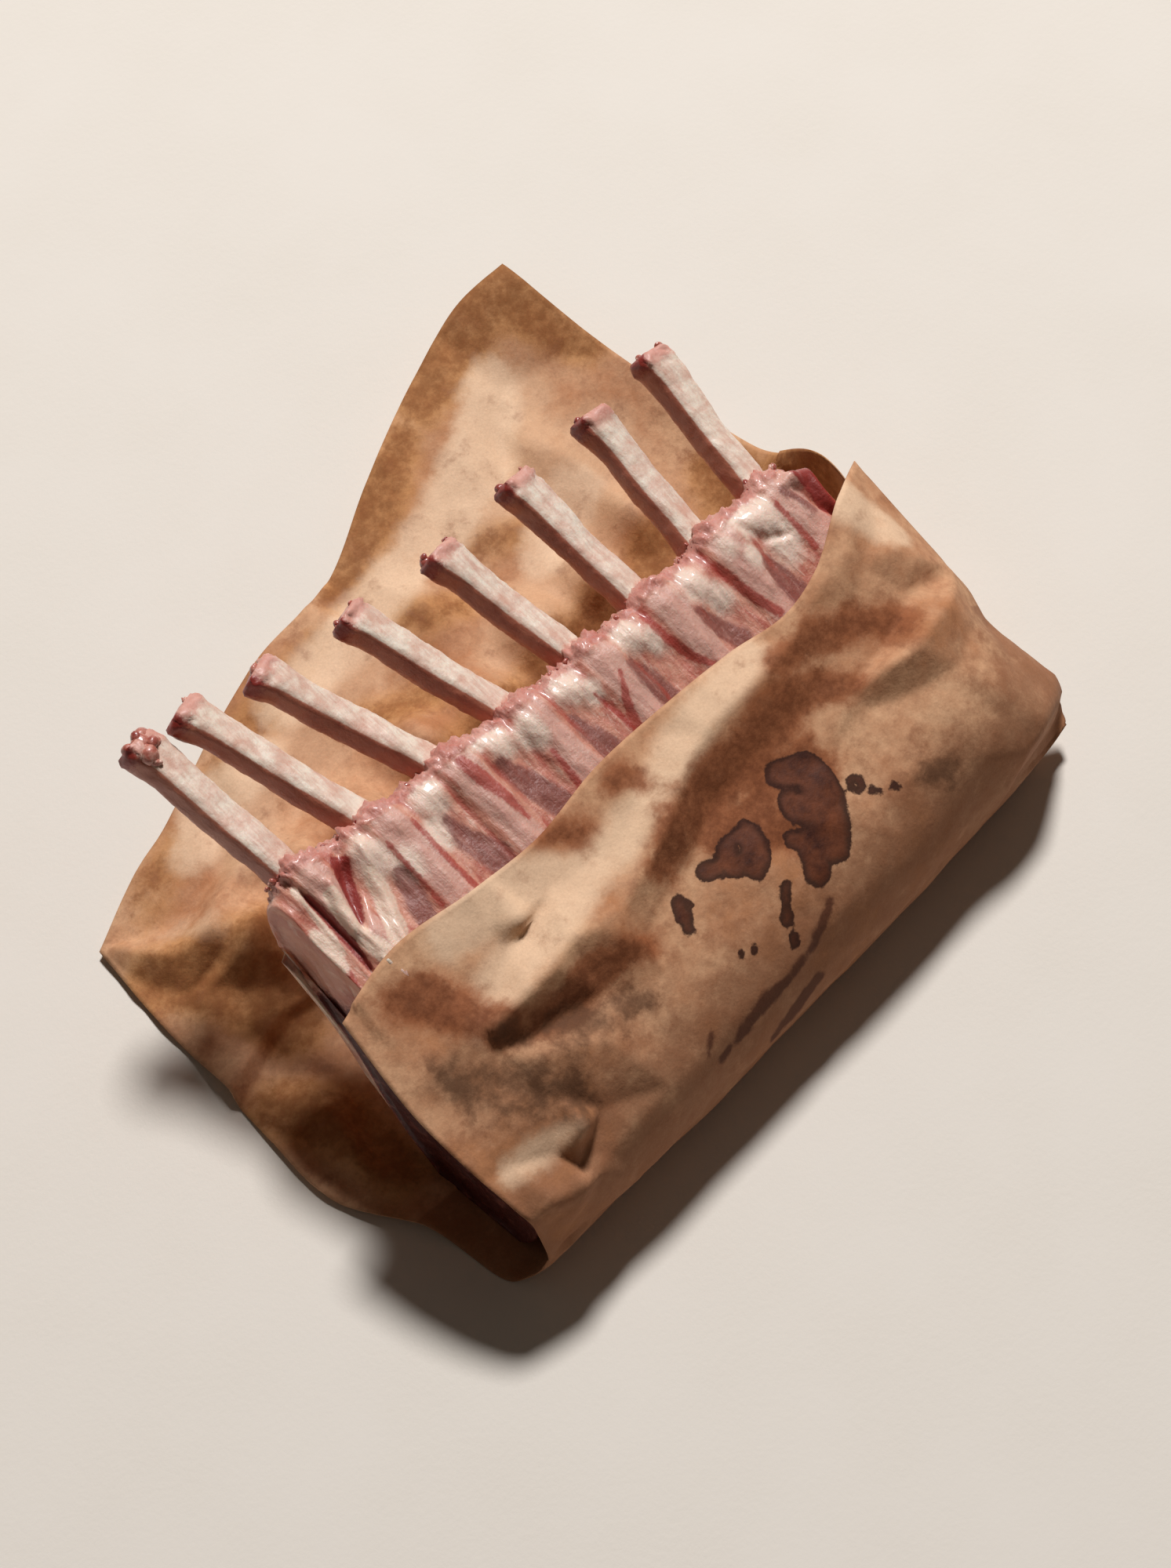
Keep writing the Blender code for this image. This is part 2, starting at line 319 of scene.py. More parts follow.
paperWrap = {
    "columns": 186, "rowSpacing": 1.42, "thickness": 0.32,
    "dentSize": 34.0, "dentHeight": 0.9,         # slow dents
    "crumpleSize": 20.0,                         # between loose corners of the crumple
    "fineSize": 9.0, "fineHeight": 0.45,
    # rails from the left edge to the right one: far edge first, free top edge last
    "rails": (
        ((-124.5, 78, 1.5), (-103.5, 85.5, 5), (-84.5, 90, 10), (-59, 99, 14),
         (-27, 108, 14), (9, 113, 14), (38, 126, 17), (77, 141, 22), (103, 147, 27),
         (122, 145, 31)),
        ((-129, 48, 1.5), (-95, 54, 7), (-50, 64, 8), (0, 74, 8), (50, 86, 8), (95, 96, 11),
         (126, 97, 22)),
        ((-131, 24, 1), (-60, 32, 1), (0, 38, 2), (60, 44, 3), (108, 46, 8), (128, 44, 22)),
        ((-134, 0, 1), (-112, 2, 0), (-60, 4, 0), (0, 6, 0), (60, 8, 0), (109, 10, 0),
         (115.5, 10, 14), (118, 10, 58)),
        ((-136, -22, 2), (-116, -24, 0), (-60, -24, 0), (0, -24, 0), (60, -24, 0),
         (109, -24, 0), (114.5, -24, 10), (114, -24, 42)),
        ((-122, -62, 1), (-112, -62, 0), (-60, -62, 0), (0, -62, 0), (60, -62, 0),
         (109, -62, 0), (114.5, -62, 8), (114.5, -62, 24)),
        ((-120, -79, 0), (-60, -80, 0), (0, -81, 0), (60, -81, 0), (106, -79, 0),
         (114, -77, 10)),
        ((-115, -86, 7), (-60, -87, 6), (0, -87.5, 6), (60, -87, 6), (106, -86, 7),
         (120, -85, 10)),
        ((-114, -84, 34), (-60, -85, 37), (0, -85, 38), (60, -85, 37), (104, -83, 30),
         (124, -78, 15)),
        ((-116, -78, 42), (-60, -78, 45), (0, -78, 46), (60, -78, 46), (100, -76, 43),
         (113, -73, 33), (122, -70, 23)),
        ((-118.5, -46, 55.5), (-61, -46, 60.5), (-1, -46, 60.5), (59, -46, 60.5),
         (100, -46, 59), (117, -46, 43.5)),
        ((-115, -16, 68.5), (-92, -12, 72.5), (-64, -16, 73), (-41, -18, 72.5), (-12, -15, 73),
         (17, -16, 73), (41, -18, 72.5), (62, -21, 72), (77, -18, 73), (99, -7.5, 76),
         (117, -0.5, 69)),
    ),
    # creases: (u, v, height) in mm, u across from the left edge, v along from the far edge
    "creases": (
        ((74, 311, 0.4), (52, 305, 0.3), (40, 299, 0.3), (30, 296, 2.8)),
        ((30, 296, 2.8), (32, 294, 5.5), (38, 294, 6.8), (46, 294, 8.2), (56, 294, 8.6),
         (65, 296, 8.2), (71, 294, 7.3), (75, 291, 6.4), (78, 285, 5.5), (81, 281, 2.8)),
        ((31, 288, 0.1), (41, 284, -0.8), (51, 282, -1), (64, 278, -1), (69, 273, -0.7),
         (80, 270, 0.3)),
        ((75, 291, 6.4), (85, 292, 5.2), (100, 296, 5.5), (111, 299, 6.6), (128, 308, 5.9),
         (139, 311, 5.9), (152, 312, 5.5), (169, 313, 4.5), (182, 317, 3),
         (192, 320, 2.8)),
        ((84, 281, 0.3), (96, 285, 0), (112, 288, -0.3), (125, 294, -0.3), (140, 296, 0),
         (155, 296, 0), (175, 297, 0.3), (189, 302, 0.7)),
        ((102, 305, 1.3), (111, 299, 6.6)),
        ((52, 314, 1.3), (56, 311, 4.3), (60, 309, 4.8), (66, 309, 1.3)),
        ((51, 308, 0.4), (58, 305, 0.1)),
        ((0, 267, -0.5), (8, 264, -2.9), (15, 259, -3.4), (20, 256, -3.1), (21, 248, -0.8)),
        ((0, 249, 1.3), (9, 249, 2.6), (19, 246, 4), (25, 244, 2.8), (30, 245, 1.3)),
        ((20, 256, -3.1), (24, 255, 1.3), (30, 259, 5.1)),
        ((31, 252, -1.3), (26, 250, -1.3)),
        ((34, 282, 0.7), (39, 277, 2.8), (45, 274, 4.3), (52, 270, 2.6)),
        ((18, 277, -0.8), (28, 275, -0.8), (32, 267, -1), (38, 256, -1.6)),
        ((40, 247, 1.3), (56, 247, 1.6), (72, 247, 1.3), (90, 247, 1), (106, 245, 1),
         (128, 246, 1), (146, 248, 1), (161, 250, 1), (181, 252, 1.3),
         (195, 251, 2.4)),
        ((246, 297, 2.8), (221, 288, 5.5), (206, 285, 5.9), (195, 288, 5.1), (184, 289, 1.3)),
        ((230, 306, 3.2), (222, 297, -1.8), (209, 294, -1.2), (200, 291, -0.8),
         (184, 289, 1.3)),
        ((230, 306, 3.2), (229, 302, 3), (236, 300, 2.8), (249, 300, 1.3)),
        ((212, 302, -1), (222, 297, -1.8), (235, 296, -1.3)),
        ((192, 320, 2.8), (200, 320, 3.6), (214, 317, 3.8), (228, 320, 2.6)),
        ((204, 308, 0), (216, 311, 0.4), (229, 312, 0.7)),
        ((232, 279, 0.7), (210, 273, 0), (198, 276, -0.7), (191, 279, -0.9), (185, 283, -0.5)),
        ((206, 258, 0.7), (212, 253, 2.6), (222, 246, 5.5)),
        ((238, 247, 4.3), (222, 246, 5.5), (212, 242, 4.4), (205, 233, 2.6), (201, 224, 0.6)),
        ((231, 262, 1), (228, 254, 2.6)),
        ((239, 227, -0.7), (226, 228, -1), (216, 228, -0.7)),
        # far side: its left corner, the step below it and the pleats along the left edge
        ((0, 0, 0.6), (10, 9, -0.7), (21, 19, -1.2), (32, 24, -1.2), (44, 25, -0.6)),
        ((0, 0, 0.6), (5, 7, 3.1), (10, 19, 4.9), (15, 28, 6.1), (21, 33, 6.8), (28, 35, 6.6),
         (35, 32, 5.9), (45, 31, 4.7), (51, 30, 3)),
        ((2, 16, 0.6), (6, 28, 0), (12, 40, 0), (21, 43, 0.6), (30, 42, 1.4), (41, 39, 1)),
        ((16, 46, 1.2), (28, 50, 3.2), (34, 47, 3.1), (40, 45, 2.4)),
        ((34, 56, 0), (24, 58, -0.6)),
        ((2, 83, 5.2), (11, 80, 4.8), (25, 77, 4.2), (36, 83, 3.6), (48, 84, 2.2)),
        ((4, 90, -0.7), (15, 87, -1.1), (28, 84, -1.1), (39, 90, -0.6)),
        ((4, 62, 0.6), (15, 66, 0), (28, 66, 0)),
        ((12, 115, 3), (15, 126, 5.2), (14, 137, 5.7), (11, 145, 5.2), (10, 150, 3.8)),
        ((20, 134, 0), (18, 145, 0)),
        ((5, 131, 0.6), (8, 117, 1.2)),
        ((0, 150, -0.4), (5, 147, 0.6), (9, 152, 3.8), (10, 157, 5.2), (6, 162, 3),
         (1, 171, 3.8)),
        ((138, 25, 1.2), (145, 31, 4.7), (148, 41, 3)),
        ((188, 34, 1.4), (211, 33, 4), (226, 33, 1.2)),
        ((178, 19, 1.2), (192, 23, 4), (202, 29, 1.2)),
        ((200, 46, 1.2), (215, 49, 4.3), (226, 54, 2.2)),
        ((190, 3, 0.6), (206, 12, 2.7), (219, 19, 0.6)),
        ((162, 3, 0.6), (174, 7, 3), (184, 12, 1)),
        ((60, 20, 0.6), (74, 24, 3), (88, 22, 1)),
        ((60, 52, 0.7), (72, 48, 4.3), (80, 58, 1.4)),
        ((110, 8, 0.6), (124, 14, 2.7), (132, 24, 0.7)),
    ),
    # soft bulges behind the meat, one in each gap between ribs: (x, y, height, radius)
    "bulges": (
        (-94, 45, 11, 12), (-69, 50, 15, 13), (-43, 49, 13, 11), (-15, 54, 15, 13),
        (11, 50, 12, 12), (39, 56, 15, 13), (64, 54, 12, 11), (91, 60, 9, 12),
        (20, 78, 3.0, 16), (60, 84, 3.5, 16), (-24, 76, 2.5, 15), (88, 92, 3.0, 14),
    ),
    # meat juice: soaked-in reddish areas, dark wet stains and grey rubbed patches
    "soaked": (
        ((-20, -45, 61, 5), (-9, -41, 62, 8), (8, -40, 63, 9), (25, -40, 63, 9),
         (42, -37, 64, 8), (54, -40, 63, 6), (62, -46, 60, 4)),
        ((0, -50, 59, 7), (14, -52, 58, 6), (28, -48, 60, 6), (38, -50, 59, 4)),
        ((48, -29, 68, 5), (64, -31, 68, 6), (76, -35, 66, 6), (86, -44, 62, 5)),
        ((-37, -19, 72, 4), (-31, -24, 70, 5), (-27, -25, 69, 3)),
        ((-12, -21, 71, 4), (-6, -24, 70, 4)),
        ((-100, -22, 67, 6), (-94, -27, 66, 8), (-90, -36, 63, 7), (-84, -46, 59, 6)),
        ((10, -57, 57, 8), (22, -62, 55, 9), (34, -56, 57, 8)),
        ((-77, -53, 57, 5), (-66, -53, 57, 6), (-56, -52, 58, 6), (-46, -54, 57, 5),
         (-39, -57, 56, 4)),
    ),
    "wet": (
        ((27, -50, 59, 4.5), (33, -55, 57, 5.5), (32, -62, 55, 5.5)),
        ((23, -58, 56, 5), (29, -66, 53, 5.5), (23, -73, 50, 5)),
        ((15, -64, 54, 2.6), (19, -69, 52, 4), (14, -74, 49, 4.2)),
        ((7, -54.5, 58, 3.4), (1, -56, 57, 5), (-3, -57, 56.5, 5.2)),
        ((-3, -57, 56.5, 4.5), (-10.5, -54.5, 57.5, 2.6)),
        ((6.5, -57, 57, 3.4), (5, -61, 55, 3.4), (1, -62, 55, 4)),
        ((-23, -55, 57, 1.8), (-24, -58, 56, 2.1), (-26, -61.5, 55, 1.5)),
        ((-20.5, -57.5, 56.3, 0.8), (-24, -58, 56, 1.4)),
        ((4, -71, 50.6, 1.4), (1, -73.5, 49.3, 1.6)),
        ((-1, -75.5, 47.8, 1.6), (-2.5, -76.8, 46.8, 1.9)),
        ((-4, -80, 43.5, 1.1), (-5, -81.8, 42, 1.0)),
        ((-15, -76, 47, 0.9), (-15.8, -76.8, 46.5, 0.9)),
        ((-19, -75, 47.7, 0.7), (-19.4, -75.4, 47.4, 0.7)),
        ((43.5, -70, 51.5, 1.2), (44, -71, 51, 1.2)),
        ((49, -72.5, 49.8, 0.8), (49.4, -73, 49.6, 0.8)),
    ),
    "dryHoles": (
        ((16.5, -53, 58, 1.0), (14.5, -58, 56.3, 1.6), (11, -62, 55, 2.0),
         (8.5, -66, 53.5, 2.6)),
        ((1.5, -55.6, 57.2, 1.0), (0.5, -56.5, 57, 0.8)),
    ),
    "droplet": ((40.8, -65.6, 53.5), 2.0, 0.9),
    "streaks": (
        ((11.5, -81, 43, 1.2), (7, -82.5, 41, 1.6), (3, -84, 39.4, 1.4), (-1, -85, 38, 1.2)),
        ((-5, -85, 37.5, 1.2), (-9, -85.5, 37, 1.0)),
        ((-12, -86, 36, 1.2), (-17, -86, 36.6, 2.2), (-24, -86, 36, 2.6), (-30, -86, 35, 2.2),
         (-34, -86.6, 34, 1.4)),
        ((-38, -86.7, 34, 1.0), (-41, -86.8, 33, 1.2)),
        ((-41, -83, 40.4, 1.0), (-43, -84, 39, 1.4), (-45, -85, 37.4, 1.0)),
        ((-22, -90, 22, 1.8), (-12, -90, 25, 2.6), (-2, -90, 28, 2.2)),
    ),
    "grime": (
        ((-104, -46, 57, 7), (-98, -54, 55, 10), (-90, -62, 52, 10), (-84, -70, 49, 8)),
        ((-84, -50, 58, 6), (-74, -58, 55, 8), (-64, -62, 54, 7), (-50, -66, 52, 5)),
        ((60, -76, 47, 5), (66, -80, 44, 5)),
    ),
    # brown stains along the far edges and corner, and painted shade: the first stroke darkens the paper
    # just behind the meat between the ribs, and the strokes at the left end darken the flap there
    "brownedAndShaded": (
        ((-98, 28, 3, 12), (-40, 35, 3, 13), (20, 38, 3, 13), (84, 44, 4, 13)),
        ((122, 145, 31, 14), (104, 142, 26, 13), (84, 138, 21, 11), (70, 133, 20, 8)),
        ((118, 132, 28, 12), (122, 112, 24, 9)),
        ((60, 130, 19, 6), (40, 121, 17, 9), (24, 113, 15, 8), (6, 106, 13, 7)),
        ((-10, 100, 13, 5), (-40, 94, 12, 6), (-66, 88, 12, 6)),
        ((-90, 84, 12, 5), (-106, 78, 11, 8), (-118, 72, 10, 6)),
        ((-122, 60, 7, 10), (-112, 48, 6, 13), (-104, 36, 4, 13), (-104, 22, 2, 12)),
        ((-96, 46, 6, 8), (-84, 42, 6, 8), (-70, 44, 5, 6)),
        ((-124, 4, 1, 10), (-116, -12, 1, 12), (-116, -34, 1, 10)),
        ((38, 92, 10, 4), (50, 88, 10, 6), (62, 82, 9, 5)),
        ((8, 88, 11, 4), (18, 82, 10, 6), (30, 78, 8, 5)),
        ((-26, 76, 10, 4), (-14, 70, 8, 6), (0, 64, 7, 5)),
        ((118, 16, 46, 14), (114, 34, 16, 14), (118, 50, 14, 12)),
    ),
    # pale paper, painted light: the lit strip over the crest and the lit folds at the left; also pale
    # patches towards the far corner
    "pale": (
        ((-90, -42, 61, 4), (-78, -38, 63, 7), (-62, -35, 65, 8), (-50, -34, 65, 8),
         (-38, -32, 66, 8), (-24, -33, 66, 7), (-10, -31, 68, 7), (5, -28, 69, 7),
         (22, -24, 71, 7), (45, -23, 71, 6)),
        ((-78, -20, 71, 7), (-60, -22, 70, 9), (-44, -26, 68, 7)),
        ((100, -10, 74, 8), (106, -24, 67, 7)),
        ((-110, -72, 46, 4), (-100, -74, 46, 5), (-90, -75, 46, 3)),
        ((-123, 71, 10, 5), (-113, 67, 12, 6), (-104, 60, 12, 6), (-98, 54, 12, 5)),
        ((-86, 78, 12, 8), (-70, 84, 12, 9), (-50, 84, 12, 7)),
        ((-34, 92, 12, 8), (-6, 94, 12, 9), (20, 98, 13, 9), (46, 100, 13, 10),
         (72, 108, 16, 12), (92, 122, 20, 10)),
        ((84, 80, 11, 10), (60, 72, 9, 9)),
    ),
    "greased": (
        ((92, 118, 17, 14), (84, 106, 14, 16), (62, 100, 12, 16), (40, 96, 11, 12)),
        ((20, 96, 12, 12), (-10, 86, 11, 12), (-44, 78, 10, 12), (-74, 68, 10, 11)),
        ((100, 84, 12, 14), (84, 72, 9, 12), (60, 60, 6, 12), (30, 56, 5, 12)),
    ),
}


def paperMaterial():
    # Unbleached kraft paper: tan, dull and mottled by its short fibres, darker and redder
    # where meat juice has soaked in, brown-black and slick where it still lies wet
    material, tree, shader = newMaterial("kraftPaper")
    where = addNode(tree, "ShaderNodeTexCoord").outputs["Object"]
    rough = {}
    for name, size, detail, low, high in (("cloud", 30, 5.0, 0.36, 0.64),
                                          ("warp", 9, 6.0, 0.32, 0.68),
                                          ("mottle", 3.4, 5.0, 0.3, 0.7)):
        pattern = addNode(tree, "ShaderNodeTexNoise", {"Vector": where, "Scale": perMm(size),
                                                       "Detail": detail, "Roughness": 0.66})
        rough[name] = addNode(tree, "ShaderNodeMapRange",
                              {"Value": pattern.outputs["Fac"], "From Min": low,
                               "From Max": high}).outputs["Result"]
    # real fibres are about 0.03 mm thick, far too fine to show; these are 0.7 mm
    fibre = addNode(tree, "ShaderNodeTexNoise", {"Vector": where, "Scale": perMm(0.7),
                                                 "Detail": 3.0, "Roughness": 0.65})
    plain = addNode(tree, "ShaderNodeMix", {0: rough["cloud"], 6: srgb("#d9a982"),
                                            7: srgb("#b77b56")}, data_type="RGBA")
    specks = addNode(tree, "ShaderNodeMapRange",
                     {"Value": rough["mottle"], "From Min": 0.35, "From Max": 0.95,
                      "To Max": 0.4})
    plain = addNode(tree, "ShaderNodeMix", {0: specks.outputs["Result"],
                                            6: plain.outputs[2], 7: srgb("#976547")},
                    data_type="RGBA")
    juice = addNode(tree, "ShaderNodeMix", {0: rough["warp"], 6: srgb("#8a4b2c"),
                                            7: srgb("#3d170a")}, data_type="RGBA")
    paper, masks = paintLayers(tree, plain.outputs[2], (
        ("greased", rough["warp"], 0.6, 0.1, 0.9, 0.6, srgb("#dcb18c")),
        # painted shade: the front wall painted darker brown towards its foot
        ("paintedWallShade", rough["warp"], 0.8, 0.1, 1.0, 0.7, srgb("#8f5c3e")),
        # brown stains, with painted shade behind the meat and at the left of the flap
        ("brownedAndShaded", rough["cloud"], 0.6, 0.0, 1.0, 0.75, srgb("#c78f59")),
        ("brownedAndShaded", rough["warp"], 0.9, 0.35, 1.25, 0.6, srgb("#93572b")),
        ("brownedAndShaded", rough["mottle"], 0.9, 0.55, 1.3, 0.5, srgb("#7d471f")),
        # painted light: paler where light falls on the crest strip and the folds at the left
        ("pale", rough["warp"], 0.5, 0.15, 1.0, 0.8, srgb("#eecaa8")),
        ("soaked", rough["warp"], 0.7, 0.0, 0.85, 0.9, srgb("#975733")),
        ("soaked", rough["mottle"], 0.7, 0.5, 1.3, 0.8, srgb("#6c381b")),
        ("grime", rough["warp"], 0.8, 0.1, 1.1, 0.6, srgb("#7f553a")),
        ("grime", rough["warp"], 1.1, 0.5, 1.35, 0.55, srgb("#452b19")),
        ("streaked", rough["warp"], 0.5, -0.25, 0.15, 0.85, srgb("#5a2f1d")),
        ("wet", rough["warp"], 0.35, -0.13, -0.02, 0.95, srgb("#331408")),
        ("wet", rough["warp"], 0.6, -0.05, 0.4, 0.8, juice.outputs[2]),
    ))
    grain = addNode(tree, "ShaderNodeMapRange",
                    {"Value": fibre.outputs["Fac"], "From Min": 0.25, "From Max": 0.75,
                     "To Min": 0.9, "To Max": 1.08})
    grey = addNode(tree, "ShaderNodeCombineColor", {0: grain.outputs["Result"],
                                                    1: grain.outputs["Result"],
                                                    2: grain.outputs["Result"]})
    paper = addNode(tree, "ShaderNodeMix", {0: 1.0, 6: paper, 7: grey.outputs[0]},
                    data_type="RGBA", blend_type="MULTIPLY")
    tree.links.new(paper.outputs[2], shader.inputs["Base Color"])
    dull = addNode(tree, "ShaderNodeMapRange", {"Value": masks["wet"], "To Min": 0.82,
                                                "To Max": 0.6})
    slick = addNode(tree, "ShaderNodeMath", {0: masks["greased"], 1: -0.2,
                                             2: dull.outputs["Result"]},
                    operation="MULTIPLY_ADD")
    tree.links.new(slick.outputs[0], shader.inputs["Roughness"])
    height = addNode(tree, "ShaderNodeMath", {0: rough["warp"], 1: 1.2, 2: rough["mottle"]},
                     operation="MULTIPLY_ADD")
    relief = addNode(tree, "ShaderNodeMath", {0: fibre.outputs["Fac"], 1: 0.35,
                                              2: height.outputs[0]},
                     operation="MULTIPLY_ADD")
    bump = addNode(tree, "ShaderNodeBump", {"Height": relief.outputs[0], "Strength": 0.35,
                                            "Distance": 0.25 * mm})
    tree.links.new(bump.outputs["Normal"], shader.inputs["Normal"])
    shader.inputs["Specular IOR Level"].default_value = 0.3
    return material


def makePaper():
    rails = [smoothPath(points, count=paperWrap["columns"] + 1) for points in paperWrap["rails"]]
    middle = paperWrap["columns"] // 2
    steps = [max(1, round(np.linalg.norm(b[middle] - a[middle]) / paperWrap["rowSpacing"]))
             for a, b in zip(rails, rails[1:])]
    grid = np.array([smoothPath([rail[c] for rail in rails], steps=steps)
                     for c in range(paperWrap["columns"] + 1)]).transpose(1, 0, 2)
    rows, columns = grid.shape[:2]
    length = np.concatenate(([0], np.cumsum(np.linalg.norm(np.diff(grid[:, middle], axis=0),
                                                           axis=1))))
    flat = np.stack(np.meshgrid(np.linspace(0, 250, columns), length), -1).reshape(-1, 2)
    normal = gridNormals(grid).reshape(-1, 3)
    points = grid.reshape(-1, 3)
    share = flat[:, 1] / length[-1]
    # the shown side is the outside over the meat and the inside on the far flap
    shown = np.where(share[:, None] > 0.62, normal * np.sign(normal[:, 2:3] + 1e-9),
                     normal * np.sign((normal @ np.array((0, -0.6, 1.0)))[:, None] + 1e-9))
    along = flat[:, 1]
    loose = np.clip(np.interp(along, (0, 90, 125, 205, 225, 240), (1, 1, 0, 0, 1, 1)), 0, 1)
    lowPart = smoothStep(points[:, 2], 0.6, 4.0)
    height = roughness3d(points, paperWrap["dentSize"]) * paperWrap["dentHeight"] * lowPart
    folded = crumple(flat, paperWrap["creases"], paperWrap["crumpleSize"],
                     lambda v: np.interp(v, (0, 90, 125, 205, 240, 325),
                                         (1.9, 1.5, 0.2, 0.3, 0.8, 0.9)), 5)
    folded += crumple(flat, (), paperWrap["fineSize"],
                      lambda v: paperWrap["fineHeight"], 9) * smoothStep(
                          roughness3d(points, 45.0, 3), -0.3, 0.4)
    folded = 0.5 * (folded + softened(folded.reshape(rows, columns), 1).ravel())
    leftSide = 1 - smoothStep(points[:, 0], -112.0, -104.0)
    height += folded * np.maximum(loose, leftSide)
    for x, y, tall, radius in paperWrap["bulges"]:
        away = np.hypot(points[:, 0] - x, (points[:, 1] - y) * 0.8)
        height += tall * np.exp(-(away / radius) ** 2 * 1.6) * (along < 120)
    moved = points + shown * height[:, None]
    moved[:, 2] = np.maximum(moved[:, 2], 0.35)
    top = (points[:, 2] > 15) & (share > 0.6)
    under = np.where(top, meatTop(moved[:, 0], moved[:, 1]) + 1.0, 0.0)
    moved[:, 2] = np.maximum(moved[:, 2], under)
    ring = np.abs(np.linalg.norm(points - np.array(paperWrap["droplet"][0]), axis=1)
                  - paperWrap["droplet"][1])
    wet = np.maximum(strokes(points, paperWrap["wet"]), paperWrap["droplet"][2] - ring)
    wet = np.minimum(wet, -1.3 * strokes(points, paperWrap["dryHoles"]))
    fields = {
        "soaked": strokes(points, paperWrap["soaked"], 5.0),
        "pale": strokes(points, paperWrap["pale"], 5.0),
        "wet": np.clip(wet / 6, -1, 1),
        "streaked": np.clip(strokes(points, paperWrap["streaks"]) / 4, -1, 1),
        "grime": strokes(points, paperWrap["grime"], 6.0),
        # brown stains and painted shade
        "brownedAndShaded": strokes(points, paperWrap["brownedAndShaded"], 6.0),
        "greased": strokes(points, paperWrap["greased"], 9.0),
        # painted shade: darker towards the bottom of the front wall, fully below about 40 mm
        "paintedWallShade": smoothStep(-points[:, 2], -60.0, -40.0) * (points[:, 1] < -50),
    }
    faces = [(r * columns + c, r * columns + c + 1, (r + 1) * columns + c + 1,
              (r + 1) * columns + c) for r in range(rows - 1) for c in range(columns - 1)]
    sheet = meshPiece("paperSheet", toRow(moved), faces, paperMaterial(), fields,
                      flat * mm)
    wall = sheet.modifiers.new("thickness", "SOLIDIFY")
    wall.thickness = paperWrap["thickness"] * mm
    wall.offset = 0.0
    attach(sheet, "root")
    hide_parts("butcher_paper")
    print("paper: %d by %d, flat about 250 by %d mm" % (rows, columns, length[-1]))
    return sheet


# meat and its membrane

ribs = {
    "pitch": 26.0, "middle": -0.5, "rise": 18.0, "buried": 18.0, "buriedDrop": 34.0,
    "rootZ": 69.8, "width": 11.2, "thickness": 9.6, "squareness": 0.6, "roll": 20.0,
    "shift": -1.8,
    "leans": (-4, -15, -19, -15, -8, 0, 7, 9), "lengths": (56, 60, 58, 54, 50, 51, 50, 51),
    "stations": 78, "around": 44,
}

